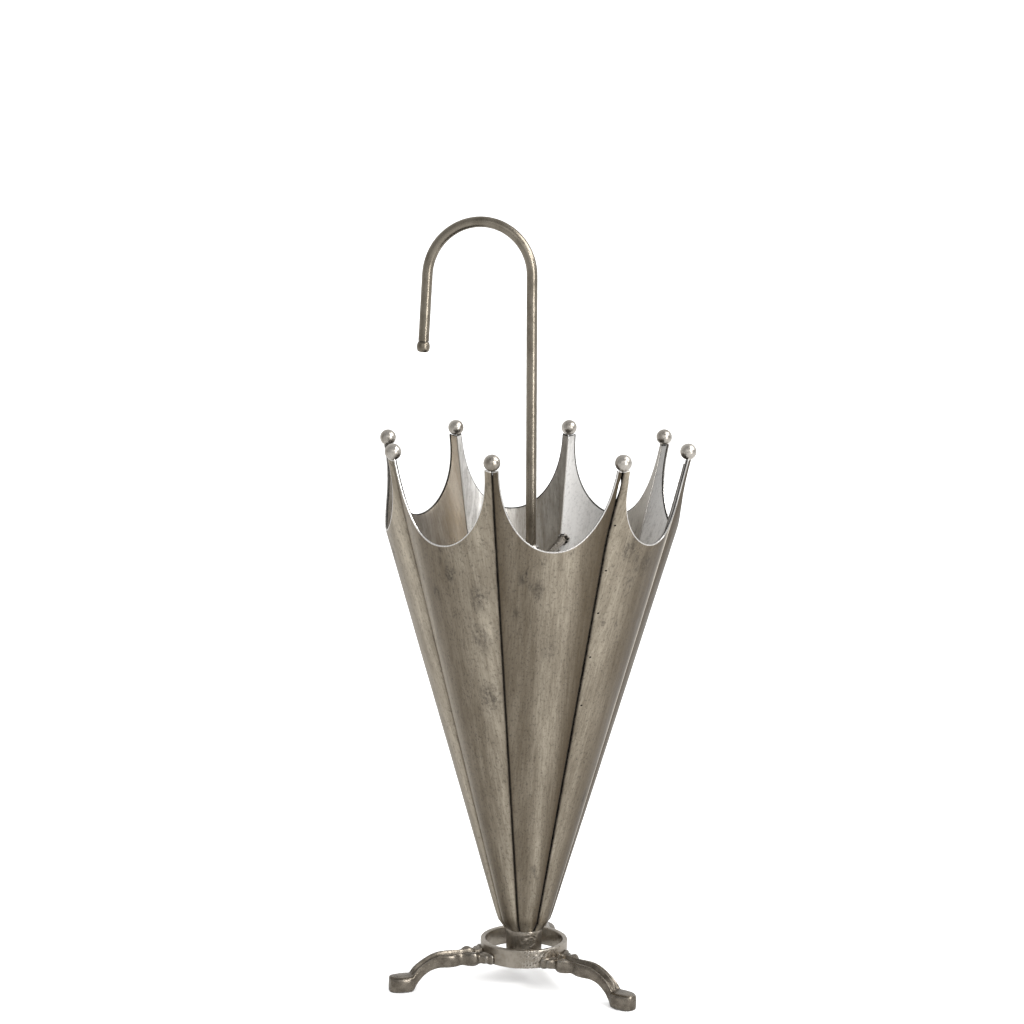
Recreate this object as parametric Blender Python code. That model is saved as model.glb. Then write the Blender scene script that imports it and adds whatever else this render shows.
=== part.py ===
"""Umbrella stand shaped like an open umbrella standing on its point.

Metres, +Z up. The floor is z = 0 and the canopy's axis is the Z axis. The ribs lie at
0, 45, 90 ... degrees from the front (-Y), counted towards the right (+X).
"""
import bpy
import bmesh
from math import asin, atan2, cos, pi, radians, sin, sqrt, tan
from mathutils import Matrix, Vector

MM = 0.001
GAP = 0.3 * MM                     # clearance between neighbouring pieces

# Canopy
PANELS = 8
WALL = 2.5 * MM                    # sheet thickness
MID_RADIUS_LOW = 29.4 * MM         # radius of a panel's middle at CONE_LOW
CONE_LOW = 71.5 * MM               # where the straight flank starts
CONE_SLOPE = 0.2944                # radius gained per metre of height
RIB_RATIO = 0.94                   # radius of a seam over radius of a panel's middle
LIP_Z = 52.3 * MM                  # lower edge of the canopy, on the neck's shoulder
LIP_RADIUS = 19.6 * MM             # radius of a panel's middle at the lower edge
LIP_CURL = 4.0                     # how late the lower edge curls in
SCALLOP_Z = 446.0 * MM             # lowest point of the scalloped top edge
PRONG_Z = 521.5 * MM               # top of the prongs
PRONG_HALF = 0.095                 # half width of a prong's top, as a share of half a panel
PRONG_PULL_IN = 1.5 * MM           # how far the prong's top leans inward of the cone
PRONG_BENDS = {                    # bent prongs, by rib: how far outward and to the right
    2: (3.0 * MM, 3.4 * MM),
    7: (-6.0 * MM, 0.0),
}
SCALLOP_BOW = 2.13                 # the two exponents that shape the scallop
SCALLOP_TURN = 0.407
GRID_Z = 400.0 * MM                # above this height the rows follow the scallop
SCALLOP_ROWS = 4
COLUMN_PLACES = (0.3, 0.5, 0.66, 0.78, 0.85, 0.885, 1.0 - PRONG_HALF, 0.955, 1.0)
LOW_ROWS = (LIP_Z, LIP_Z + 4 * MM, LIP_Z + 9 * MM, CONE_LOW, GRID_Z / 2, GRID_Z)

# Ball finials
BALL_RADIUS = 7.75 * MM
BALL_RING = 150.0 * MM             # radius of the circle through the balls
BALL_Z = 527.0 * MM
SEAT_GAP = 0.55 * MM               # the hollow in the prong's top is this much larger

# Handle
ROD_RADIUS = 5.2 * MM
SHAFT_FOOT_Z = 426.8 * MM
CROOK_START_Z = 686.5 * MM        # where the shaft starts to bend
CROOK_RADII = (50.0 * MM, 53.5 * MM)   # the arc by the shaft is tighter than the far one
CROOK_TURNS = (radians(101.0), radians(75.5))
CROOK_LEG = 63.8 * MM              # straight end of the crook
HANDLE_LEAN = radians(0.8)         # the handle leans this far towards its hook
KNOB_RADIUS = 6.4 * MM
KNOB_HEIGHT = 10.6 * MM
KNOB_PROFILE = ((0.62, -1.0), (0.93, -0.6), (1.0, 0.0), (0.93, 0.6), (0.82, 1.0))
BAR_RADIUS = 4.0 * MM
BAR_Z = 402.0 * MM                 # height of the bar's middle on the canopy's axis
BAR_TILT = radians(7.8)            # the bar rises this much towards the back
BAR_TURN = radians(-1.6)           # and its back end lies a little to the right of the rib
SOCKET_RADIUS = 7.0 * MM           # the stub between the bar and the handle's foot
WELD_HEIGHT = 4.0 * MM
WELD_RADIUS = 8.2 * MM
WELD_WAIST = 0.92                  # radius of the weld bead's middle, as a share of its foot
WELD_TOP_WALL = 0.5 * MM

# Base
NECK_RADIUS = 17.4 * MM
NECK_SHOULDER_Z = 52.0 * MM
NECK_FOOT_Z = 27.9 * MM
SPIGOT_RADIUS = 15.2 * MM
SPIGOT_TOP_Z = 60.0 * MM
RING_RADIUS = 42.5 * MM
RING_WALL = 4.8 * MM
RING_Z = (23.2 * MM, 41.4 * MM)
SPIDER_Z = (23.6 * MM, 27.6 * MM)
SPIDER_ARM_HALF = 6.0 * MM
SPIDER_HUB = 18.0 * MM
BASE_TURN = radians(4.0)           # the base is turned this far against the ribs
LEG_ANGLES = {"leg_right": 60.0, "leg_back": 180.0, "leg_left": -60.0}
LEG_HALF = 7.4 * MM                # half width of the plain leg
LEG_TAPER = 1.0 * MM               # how much narrower it is at the foot
LEG_TOP_Z = 33.0 * MM              # top edges of the straight inner stretch
LEG_UNDER_Z = 20.5 * MM            # underside of the same stretch
LEG_TOP_BEND = 84.0 * MM           # distances from the axis where top and underside bend down
LEG_UNDER_BEND = 88.0 * MM
LEG_TOP_DROP = 15.0 * MM           # fall of the top edges from their bend to the foot
LEG_TOP_CURVE = 1.55               # exponents that shape the two bends
LEG_UNDER_CURVE = 2.3
LEG_ROUNDING = 2.6 * MM            # drop of the leg's outer edges
LEG_UNDER_LIFT = 1.0 * MM          # rise of the underside's outer edges
LEG_REACHES = (52, 55, 59, 64, 71, 79, 84, 89, 95, 101, 106, 110.5)
CREST = 2.2 * MM                   # height of the middle ridge over the side ridges
GROOVE = 0.8 * MM                  # depth of the two grooves beside it
LOBES = (                          # distance from the axis, half length and bulge
    (54.5 * MM, 9.5 * MM, 6.8 * MM),
    (79.0 * MM, 10.0 * MM, 2.6 * MM),
)
ROOT_HALF = 21.0 * MM              # the root's two ends wrap round the ring
ROOT_END = 47.5 * MM
HUG_LENGTH = 20.0 * MM             # over this length the leg's sections follow the ring's curve
FOOT_START = 114.8 * MM            # inner edge of the foot block
FOOT_END = 137.0 * MM
FOOT_HALF = 10.5 * MM
FOOT_HEIGHT = 14.3 * MM
FOOT_ROUNDING = 1.2 * MM
FOOT_NOSE = 0.45                   # half width of the foot's outer end, as a share
FOOT_NOSE_CURVE = 0.6

# Fastening under the neck
BOLT_RADIUS = 4.0 * MM
HEX_ACROSS_FLATS = 13.0 * MM
HEX_HEIGHT = 5.5 * MM
WASHER_RADIUS = 8.0 * MM
WASHER_HEIGHT = 1.6 * MM
NUT_HEIGHT = 6.5 * MM
BOLT_TIP_Z = 70.0 * MM

HALF_PANEL = pi / PANELS


def clear_scene():
    for obj in list(bpy.data.objects):
        bpy.data.objects.remove(obj, do_unlink=True)


def material(name, colour, roughness, metallic):
    mat = bpy.data.materials.new(name)
    mat.use_nodes = True
    shader = mat.node_tree.nodes["Principled BSDF"]
    shader.inputs["Base Color"].default_value = (*colour, 1.0)
    shader.inputs["Roughness"].default_value = roughness
    shader.inputs["Metallic"].default_value = metallic
    mat.diffuse_color = (*colour, 1.0)
    return mat


def add_object(name, bm, mat, angle=0.0):
    """Turn a bmesh into an object. angle turns it from the front (-Y) towards +X."""
    bmesh.ops.recalc_face_normals(bm, faces=bm.faces[:])
    mesh = bpy.data.meshes.new(name)
    bm.to_mesh(mesh)
    bm.free()
    mesh.shade_smooth()
    mesh.set_sharp_from_angle(angle=radians(35))
    mesh.materials.append(mat)
    return add_copy(name, mesh, angle)


def add_copy(name, mesh, angle=0.0):
    obj = bpy.data.objects.new(name, mesh)
    obj.rotation_euler = (0.0, 0.0, angle)
    bpy.context.scene.collection.objects.link(obj)
    return obj


def skin(bm, rings, cap_ends=True):
    """Join rings of points into one surface, with a face over each end."""
    rows = [[bm.verts.new(point) for point in ring] for ring in rings]
    count = len(rows[0])
    for low, high in zip(rows, rows[1:]):
        for i in range(count):
            j = (i + 1) % count
            bm.faces.new((low[i], low[j], high[j], high[i]))
    if cap_ends:
        bm.faces.new(list(reversed(rows[0])))
        bm.faces.new(rows[-1])
    return rows


def circle(radius, z, sides):
    turn = [2 * pi * i / sides for i in range(sides)]
    return [(radius * sin(a), -radius * cos(a), z) for a in turn]


def hexagon(across_flats, z):
    """Twelve points: the six corners and the middles of the six flats."""
    points = []
    for i in range(12):
        radius = across_flats / 2 / (cos(pi / 6) if i % 2 == 0 else 1.0)
        points.append((radius * sin(i * pi / 6), -radius * cos(i * pi / 6), z))
    return points


def lathe(profile, sides):
    """A turned solid from (radius, z) pairs, bottom to top, with flat ends."""
    bm = bmesh.new()
    skin(bm, [circle(radius, z, sides) for radius, z in profile])
    return bm


def sleeve(rings):
    """A bored solid: rings go up the outside and down the inside, and close on themselves."""
    bm = bmesh.new()
    rows = skin(bm, rings, cap_ends=False)
    for i in range(len(rows[0])):
        j = (i + 1) % len(rows[0])
        bm.faces.new((rows[-1][i], rows[-1][j], rows[0][j], rows[0][i]))
    return bm


# ---------------------------------------------------------------- canopy

def mid_radius(z):
    """Radius of a panel's middle line at height z: a curled-in lip, then a straight flank."""
    straight = MID_RADIUS_LOW + CONE_SLOPE * (z - CONE_LOW)
    if z >= CONE_LOW:
        return straight
    share = (CONE_LOW - z) / (CONE_LOW - LIP_Z)
    straight_at_lip = MID_RADIUS_LOW + CONE_SLOPE * (LIP_Z - CONE_LOW)
    return straight - (straight_at_lip - LIP_RADIUS) * share ** LIP_CURL


def rib_radius(z):
    """Radius of a seam at height z. The prongs lean in a little near their tops."""
    lean = max(0.0, (z - SCALLOP_Z) / (PRONG_Z - SCALLOP_Z))
    return RIB_RATIO * mid_radius(z) - PRONG_PULL_IN * lean ** 2


def section(z, inset):
    """The panel's section at height z, an arc through both seams and the panel's middle.

    Returns the arc's centre and radius, and half the distance from seam to seam.
    inset moves the surface inwards, so that WALL gives the inside face.
    """
    rib = rib_radius(z)
    half_chord = rib * sin(HALF_PANEL)
    rise = rib / RIB_RATIO - rib * cos(HALF_PANEL)
    arc = (rise * rise + half_chord * half_chord) / (2 * rise)
    centre = rib / RIB_RATIO - arc
    arc -= inset
    seam = centre * cos(HALF_PANEL) + sqrt(arc ** 2 - (centre * sin(HALF_PANEL)) ** 2)
    half_width = seam * sin(HALF_PANEL) - GAP / 2 / cos(HALF_PANEL)
    return centre, arc, half_width


def panel_point(across, z, inset):
    """A point of the panel whose middle faces the front. across is -1 and 1 at its seams."""
    centre, arc, half_width = section(z, inset)
    sideways = across * half_width
    return Vector((sideways, -(centre + sqrt(arc ** 2 - sideways ** 2)), z))


def bent(point):
    """Where a point of the canopy lies once the bent prongs are pushed off their places."""
    share = min(1.0, max(0.0, (point.z - SCALLOP_Z) / (PRONG_Z - SCALLOP_Z)))
    lean = share * share * (3.0 - 2.0 * share)
    moved = point.copy()
    for rib, (outward, sideways) in PRONG_BENDS.items():
        angle = (rib - 1) * 2 * HALF_PANEL
        out = Vector((sin(angle), -cos(angle), 0.0))
        side = Vector((cos(angle), sin(angle), 0.0))
        away = min(1.0, abs(atan2(point.dot(side), point.dot(out))) / (2 * HALF_PANEL))
        fade = cos(away * pi / 2) ** 2
        moved += lean * fade * (outward * out + sideways * side)
    return moved


def scallop_z(across):
    """Height of the top edge at a place across the panel."""
    side = min(1.0, abs(across) / (1.0 - PRONG_HALF))
    curve = 1.0 - (1.0 - side ** SCALLOP_BOW) ** SCALLOP_TURN
    return SCALLOP_Z + (PRONG_Z - SCALLOP_Z) * curve


def top_z(across, inset):
    """The scallop's height, lowered where the ball on the prong needs the room."""
    top = scallop_z(across)
    point = panel_point(across, PRONG_Z, inset)
    side = -HALF_PANEL if across < 0 else HALF_PANEL
    away = Vector((point.x - BALL_RING * sin(side), point.y + BALL_RING * cos(side))).length
    keep = BALL_RADIUS + SEAT_GAP
    if away < keep:
        top = min(top, BALL_Z - sqrt(keep ** 2 - away ** 2))
    return top


def panel_grid(inset):
    """Columns of points from seam to seam, closer together on the prongs and beside them."""
    places = [-place for place in reversed(COLUMN_PLACES)] + [0.0] + list(COLUMN_PLACES)
    columns = []
    for across in places:
        rise = top_z(across, inset) - GRID_Z
        high_rows = [GRID_Z + rise * (i + 1) / SCALLOP_ROWS for i in range(SCALLOP_ROWS)]
        columns.append([panel_point(across, z, inset) for z in (*LOW_ROWS, *high_rows)])
    return columns


def panel_bmesh(k):
    bm = bmesh.new()
    turn = Matrix.Rotation(HALF_PANEL + (k - 1) * 2 * HALF_PANEL, 3, "Z")
    outer, inner = [
        [[bm.verts.new(bent(turn @ point)) for point in column] for column in panel_grid(inset)]
        for inset in (0.0, WALL)
    ]
    columns, rows = len(outer), len(outer[0])
    for i in range(columns - 1):
        for j in range(rows - 1):
            for grid in (outer, inner):
                bm.faces.new((grid[i][j], grid[i + 1][j], grid[i + 1][j + 1], grid[i][j + 1]))
        for j in (0, rows - 1):
            bm.faces.new((outer[i][j], inner[i][j], inner[i + 1][j], outer[i + 1][j]))
    for i in (0, columns - 1):
        for j in range(rows - 1):
            bm.faces.new((outer[i][j], outer[i][j + 1], inner[i][j + 1], inner[i][j]))
    return bm


def build_canopy(mat):
    for k in range(1, PANELS + 1):
        add_object(f"panel_{k}", panel_bmesh(k), mat)


def build_finials(mat):
    bm = bmesh.new()
    bmesh.ops.create_uvsphere(bm, u_segments=16, v_segments=8, radius=BALL_RADIUS)
    first = add_object("finial_1", bm, mat)
    for k in range(PANELS):
        angle = k * 2 * pi / PANELS
        obj = first if k == 0 else add_copy(f"finial_{k + 1}", first.data)
        obj.location = bent(Vector((BALL_RING * sin(angle), -BALL_RING * cos(angle), BALL_Z)))


# ---------------------------------------------------------------- handle

def crook_path():
    """Centre line of the handle in the XZ plane: shaft, two arcs and a straight end."""
    foot = Vector((0.0, 0.0, SHAFT_FOOT_Z))
    path = [foot, Vector((0.0, 0.0, CROOK_START_Z))]
    turned = 0.0
    for radius, turn in zip(CROOK_RADII, CROOK_TURNS):
        centre = path[-1] - radius * Vector((cos(turned), 0.0, sin(turned)))
        steps = round(turn / radians(10))
        for i in range(1, steps + 1):
            angle = turned + turn * i / steps
            path.append(centre + radius * Vector((cos(angle), 0.0, sin(angle))))
        turned += turn
    path.append(path[-1] + CROOK_LEG * Vector((-sin(turned), 0.0, cos(turned))))
    lean = Matrix.Rotation(-HANDLE_LEAN, 3, "Y")
    return [foot + lean @ (place - foot) for place in path]


def bar_along(path, radius, sides):
    """A round bar along a path that stays in the XZ plane, with square ends."""
    rings = []
    across = Vector((0.0, 1.0, 0.0))
    for i, place in enumerate(path):
        ways = []
        if i > 0:
            ways.append((place - path[i - 1]).normalized())
        if i < len(path) - 1:
            ways.append((path[i + 1] - place).normalized())
        along = sum(ways, Vector()).normalized()
        up = along.cross(across)
        turn = [2 * pi * k / sides for k in range(sides)]
        rings.append([place + radius * (cos(a) * up + sin(a) * across) for a in turn])
    bm = bmesh.new()
    skin(bm, rings)
    return bm


def build_handle(mat):
    path = crook_path()
    add_object("crook_handle", bar_along(path, ROD_RADIUS, 12), mat)

    half = KNOB_HEIGHT / 2
    bm = lathe([(KNOB_RADIUS * r, half * z) for r, z in KNOB_PROFILE], 16)
    knob = add_object("crook_knob", bm, mat)
    way = (path[-1] - path[-2]).normalized()
    knob.location = path[-1] + way * (half + GAP)
    knob.rotation_euler = (-way).to_track_quat("Z", "Y").to_euler()


def bar_reach(side):
    """Distance along the bar from the axis to its end by the ridge where two panels meet."""
    out = 0.0
    for _ in range(12):
        low = BAR_Z + side * out * tan(BAR_TILT) - BAR_RADIUS
        ridge = section(low, WALL)[2] / sin(HALF_PANEL)
        out = ridge - GAP - BAR_RADIUS * sin(BAR_TILT)
    return out / cos(BAR_TILT)


def build_cross_bar(mat):
    bm = lathe([(BAR_RADIUS, -bar_reach(1)), (BAR_RADIUS, bar_reach(-1))], 12)
    bar = add_object("cross_bar", bm, mat)
    bar.location = (0.0, 0.0, BAR_Z)
    bar.rotation_euler = (pi / 2 + BAR_TILT, 0.0, BAR_TURN)


def build_socket(mat, weld_mat):
    """The stub under the handle's foot, its underside slanted like the bar, and the weld."""
    foot = BAR_Z + BAR_RADIUS / cos(BAR_TILT) + GAP
    low_ring = []
    for x, y, _ in circle(SOCKET_RADIUS, 0.0, 16):
        low_ring.append((x, y, foot + y * tan(BAR_TILT)))
    bm = bmesh.new()
    skin(bm, [low_ring, circle(SOCKET_RADIUS, SHAFT_FOOT_Z - GAP, 16)])
    add_object("shaft_socket", bm, mat)

    low, high = SHAFT_FOOT_Z, SHAFT_FOOT_Z + WELD_HEIGHT
    hole = ROD_RADIUS + GAP
    profile = [
        (WELD_RADIUS, low),
        (WELD_RADIUS * WELD_WAIST, (low + high) / 2),
        (hole + WELD_TOP_WALL, high),
        (hole, high),
        (hole, low),
    ]
    add_object("shaft_weld", sleeve([circle(r, z, 16) for r, z in profile]), weld_mat)


# ---------------------------------------------------------------- base

def build_neck(mat):
    bore = BOLT_RADIUS + GAP
    edge = 1.2 * MM
    profile = [
        (NECK_RADIUS - edge, NECK_FOOT_Z),
        (NECK_RADIUS, NECK_FOOT_Z + edge),
        (NECK_RADIUS, NECK_SHOULDER_Z - edge),
        (NECK_RADIUS - edge / 2, NECK_SHOULDER_Z),
        (SPIGOT_RADIUS, NECK_SHOULDER_Z),
        (SPIGOT_RADIUS, SPIGOT_TOP_Z),
        (bore, SPIGOT_TOP_Z),
        (bore, NECK_FOOT_Z),
    ]
    add_object("neck_sleeve", sleeve([circle(r, z, 24) for r, z in profile]), mat)


def build_ring(mat):
    low, high = RING_Z
    inside = RING_RADIUS - RING_WALL
    edge = 1.1 * MM
    profile = [
        (RING_RADIUS - edge, low),
        (RING_RADIUS, low + edge),
        (RING_RADIUS, high - edge),
        (RING_RADIUS - edge, high),
        (inside + edge, high),
        (inside, high - edge),
        (inside, low),
    ]
    add_object("base_ring", sleeve([circle(r, z, 40) for r, z in profile]), mat)


def spider_outline():
    """(angle, radius) round the spider plate: three square-ended arms on a round hub."""
    reach = RING_RADIUS - RING_WALL - 2 * GAP
    corner = asin(SPIDER_ARM_HALF / reach)
    root = asin(SPIDER_ARM_HALF / SPIDER_HUB)
    outline = []
    for arm in sorted(LEG_ANGLES.values()):
        middle = radians(arm)
        outline += [(middle - root, SPIDER_HUB), (middle - corner, reach)]
        outline += [(middle + corner, reach), (middle + root, SPIDER_HUB)]
        outline += [(middle + step, SPIDER_HUB) for step in (radians(40), radians(60), radians(80))]
    return outline


def build_spider(mat):
    outline = spider_outline()
    bore = BOLT_RADIUS + GAP
    low, high = SPIDER_Z
    rings = []
    for z in (low, high):
        rings.append([(r * sin(a), -r * cos(a), z) for a, r in outline])
    for z in (high, low):
        rings.append([(bore * sin(a), -bore * cos(a), z) for a, _ in outline])
    add_object("spider_plate", sleeve(rings), mat, BASE_TURN)


def build_fastening(mat):
    washer_top = SPIDER_Z[0] - GAP
    head_top = washer_top - WASHER_HEIGHT - GAP
    bm = bmesh.new()
    skin(bm, [
        hexagon(HEX_ACROSS_FLATS, head_top - HEX_HEIGHT),
        hexagon(HEX_ACROSS_FLATS, head_top),
        circle(BOLT_RADIUS, head_top, 12),
        circle(BOLT_RADIUS, BOLT_TIP_Z, 12),
    ])
    add_object("tie_bolt", bm, mat)

    bore = BOLT_RADIUS + GAP
    profile = [
        (WASHER_RADIUS, washer_top - WASHER_HEIGHT),
        (WASHER_RADIUS, washer_top),
        (bore, washer_top),
        (bore, washer_top - WASHER_HEIGHT),
    ]
    add_object("bolt_washer", sleeve([circle(r, z, 20) for r, z in profile]), mat)

    low = SPIGOT_TOP_Z + GAP
    nut = sleeve([
        hexagon(HEX_ACROSS_FLATS, low),
        hexagon(HEX_ACROSS_FLATS, low + NUT_HEIGHT),
        circle(bore, low + NUT_HEIGHT, 12),
        circle(bore, low, 12),
    ])
    add_object("tie_nut", nut, mat)


def leg_top(reach):
    """Height of the side ridges on the leg's top at a distance from the axis."""
    if reach < LEG_TOP_BEND:
        return LEG_TOP_Z
    bend = (reach - LEG_TOP_BEND) / (FOOT_START - LEG_TOP_BEND)
    return max(FOOT_HEIGHT, LEG_TOP_Z - LEG_TOP_DROP * bend ** LEG_TOP_CURVE)


def leg_underside(reach):
    if reach < LEG_UNDER_BEND:
        return LEG_UNDER_Z
    bend = min(1.0, (reach - LEG_UNDER_BEND) / (FOOT_START - LEG_UNDER_BEND))
    return LEG_UNDER_Z * (1.0 - bend ** LEG_UNDER_CURVE)


def leg_half_width(reach):
    """Half width: the root on the ring, a leg with two swellings, then the foot block."""
    if reach >= FOOT_START:
        middle = (FOOT_START + FOOT_END) / 2
        if reach < middle:
            return FOOT_HALF
        end = min(1.0, (reach - middle) / (FOOT_END - middle))
        return FOOT_HALF * (FOOT_NOSE + (1.0 - FOOT_NOSE) * cos(end * pi / 2) ** FOOT_NOSE_CURVE)
    if reach <= ROOT_END:
        return ROOT_HALF
    half = LEG_HALF - LEG_TAPER * max(0.0, reach - LEG_TOP_BEND) / (FOOT_START - LEG_TOP_BEND)
    for centre, half_length, bulge in LOBES:
        place = (reach - centre) / half_length
        if abs(place) < 1:
            half += bulge * cos(place * pi / 2) ** 2
    return half


def leg_section(reach):
    """Matching top and underside points across the leg, left to right."""
    half = leg_half_width(reach)
    top, under = leg_top(reach), leg_underside(reach)
    foot = reach >= FOOT_START
    crest = 0.0 if foot else CREST
    groove = 0.0 if foot else GROOVE
    rounding = FOOT_ROUNDING if foot else LEG_ROUNDING
    strap = min(0.8 * LEG_HALF, half - rounding)
    shoulder = -(half + strap) / 2
    side = [(-half, -rounding), (shoulder, -0.2 * rounding), (-strap, 0.0)]
    side += [(-strap / 2, -groove), (0.0, crest)]
    tops = side + [(-y, rise) for y, rise in reversed(side[:-1])]
    upper = [(y, top + rise) for y, rise in tops]
    lower = []
    for y, _ in tops:
        lift = LEG_UNDER_LIFT if abs(y) == half and not foot else 0.0
        lower.append((y, under + lift))
    return upper, lower


def leg_bmesh():
    """A leg that points to the front. Its inner end follows the ring's outside."""
    root = RING_RADIUS + GAP
    reaches = [root, ROOT_END, ROOT_END + 1.5 * MM]
    reaches += [place * MM for place in LEG_REACHES]
    reaches.append(FOOT_START - 0.8 * MM)
    middle = (FOOT_START + FOOT_END) / 2
    reaches += [FOOT_START, middle, middle + 5 * MM, FOOT_END - 2 * MM, FOOT_END]
    bm = bmesh.new()
    rows = []
    for reach in reaches:
        hug = max(0.0, 1.0 - (reach - root) / HUG_LENGTH)
        rows.append([])
        for line in leg_section(reach):
            place = [(y, -(reach - hug * (root - sqrt(root ** 2 - y ** 2))), z) for y, z in line]
            rows[-1].append([bm.verts.new(point) for point in place])
    for (upper, lower), (next_upper, next_lower) in zip(rows, rows[1:]):
        for i in range(len(upper) - 1):
            bm.faces.new((upper[i], upper[i + 1], next_upper[i + 1], next_upper[i]))
            bm.faces.new((lower[i], lower[i + 1], next_lower[i + 1], next_lower[i]))
        for i in (0, -1):
            bm.faces.new((upper[i], lower[i], next_lower[i], next_upper[i]))
    for upper, lower in (rows[0], rows[-1]):
        for i in range(len(upper) - 1):
            bm.faces.new((upper[i], upper[i + 1], lower[i + 1], lower[i]))
    return bm


def build_legs(mat):
    mesh = None
    for name, angle in LEG_ANGLES.items():
        turn = radians(angle) + BASE_TURN
        if mesh is None:
            mesh = add_object(name, leg_bmesh(), mat, turn).data
        else:
            add_copy(name, mesh, turn)


def main():
    clear_scene()
    panel = material("pewter_panel", (0.31, 0.29, 0.26), 0.42, 0.9)
    bright = material("polished_pewter", (0.42, 0.40, 0.37), 0.3, 0.95)
    cast = material("cast_pewter", (0.24, 0.225, 0.2), 0.45, 0.9)
    steel = material("plain_steel", (0.45, 0.45, 0.45), 0.35, 1.0)
    build_canopy(panel)
    build_finials(bright)
    build_handle(bright)
    build_cross_bar(cast)
    build_socket(cast, bright)
    build_neck(cast)
    build_ring(cast)
    build_spider(cast)
    build_fastening(steel)
    build_legs(cast)


main()
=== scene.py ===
"""Looks for the umbrella stand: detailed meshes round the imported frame, in metres, +Z up.

The canopy's axis is the Z axis. The ribs lie at 0, 45, 90 ... degrees from the front (-Y),
counted towards the right (+X), as in the CAD. Every piece rides on the one body, "root".
"""
from math import atan2, cos, pi, radians, sin, sqrt, tan

import bmesh
import bpy
from mathutils import Matrix, Vector, noise


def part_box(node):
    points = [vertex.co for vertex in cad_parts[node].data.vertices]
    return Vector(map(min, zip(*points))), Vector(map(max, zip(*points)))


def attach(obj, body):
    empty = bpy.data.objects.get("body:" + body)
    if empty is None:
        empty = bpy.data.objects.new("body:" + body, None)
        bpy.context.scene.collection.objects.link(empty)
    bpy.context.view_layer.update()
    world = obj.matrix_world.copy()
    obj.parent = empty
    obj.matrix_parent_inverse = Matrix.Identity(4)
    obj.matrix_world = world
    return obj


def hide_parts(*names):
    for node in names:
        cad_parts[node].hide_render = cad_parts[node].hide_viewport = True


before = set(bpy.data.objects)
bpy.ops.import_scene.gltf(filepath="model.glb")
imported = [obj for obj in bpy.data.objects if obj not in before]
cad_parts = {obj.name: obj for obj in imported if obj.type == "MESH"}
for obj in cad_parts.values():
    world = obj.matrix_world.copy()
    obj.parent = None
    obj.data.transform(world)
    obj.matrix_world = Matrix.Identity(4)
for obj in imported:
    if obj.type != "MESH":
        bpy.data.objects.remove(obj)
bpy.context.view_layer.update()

MM = 0.001

# ---- sizes taken from the frame

panel_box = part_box("panel_1")
LIP_Z = panel_box[0].z
PRONG_Z = panel_box[1].z
ball_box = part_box("finial_1")
BALL_RADIUS = (ball_box[1].x - ball_box[0].x) / 2
BALL_RING = -(ball_box[0].y + ball_box[1].y) / 2
BALL_Z = (ball_box[0].z + ball_box[1].z) / 2
handle_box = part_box("crook_handle")
SHAFT_FOOT_Z = handle_box[0].z
socket_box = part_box("shaft_socket")
weld_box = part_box("shaft_weld")
neck_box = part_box("neck_sleeve")
NECK_RADIUS = neck_box[1].x
ring_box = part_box("base_ring")
RING_RADIUS = ring_box[1].x
spider_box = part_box("spider_plate")
washer_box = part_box("bolt_washer")
bolt_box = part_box("tie_bolt")
nut_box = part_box("tie_nut")

# ---- shape, as in the CAD

PANELS = 8
HALF_PANEL = pi / PANELS
GAP = 0.3 * MM
WALL = 2.5 * MM
MID_RADIUS_LOW = 29.4 * MM  # radius of a panel's middle at CONE_LOW
CONE_LOW = 71.5 * MM  # where the straight flank starts
CONE_SLOPE = 0.2944
RIB_RATIO = 0.94  # radius at a rib over the radius at a panel's middle
LIP_RADIUS = 19.6 * MM
LIP_CURL = 4.0
SCALLOP_Z = 446.0 * MM  # lowest point of the scalloped top edge
PRONG_HALF = 0.095  # half a prong's width, as a share of half a panel
PRONG_PULL_IN = 1.5 * MM
SCALLOP_BOW = 2.13  # the two exponents of the scallop's curve
SCALLOP_TURN = 0.407
SEAT_GAP = 0.05 * MM  # the balls are welded down, so no gap shows

ROD_RADIUS = 5.2 * MM
CROOK_START_Z = 686.5 * MM  # where the shaft starts to bend
CROOK_RADII = (50.0 * MM, 53.5 * MM)
CROOK_TURNS = (radians(101.0), radians(75.5))
CROOK_LEG = 63.8 * MM
HANDLE_LEAN = radians(0.8)
KNOB_RADIUS = 6.4 * MM
KNOB_HEIGHT = 10.6 * MM
# the knob's outline: shares of its radius and of half its height
KNOB_PROFILE = (
    (0.0, -0.97), (0.55, -0.97), (0.84, -0.78), (0.98, -0.35), (1.0, 0.0),
    (0.97, 0.4), (0.88, 0.74), (0.8, 0.93), (0.62, 1.0), (0.0, 1.0),
)
BAR_RADIUS = 4.0 * MM
BAR_Z = 402.0 * MM  # height of the bar's middle on the canopy's axis
BAR_TILT = radians(7.8)
BAR_TURN = radians(-1.6)
SOCKET_RADIUS = 7.0 * MM
WELD_BLOB = (6.4 * MM, 5.6 * MM, 1.7 * MM)  # half sizes of the weld at each end of the bar

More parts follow.
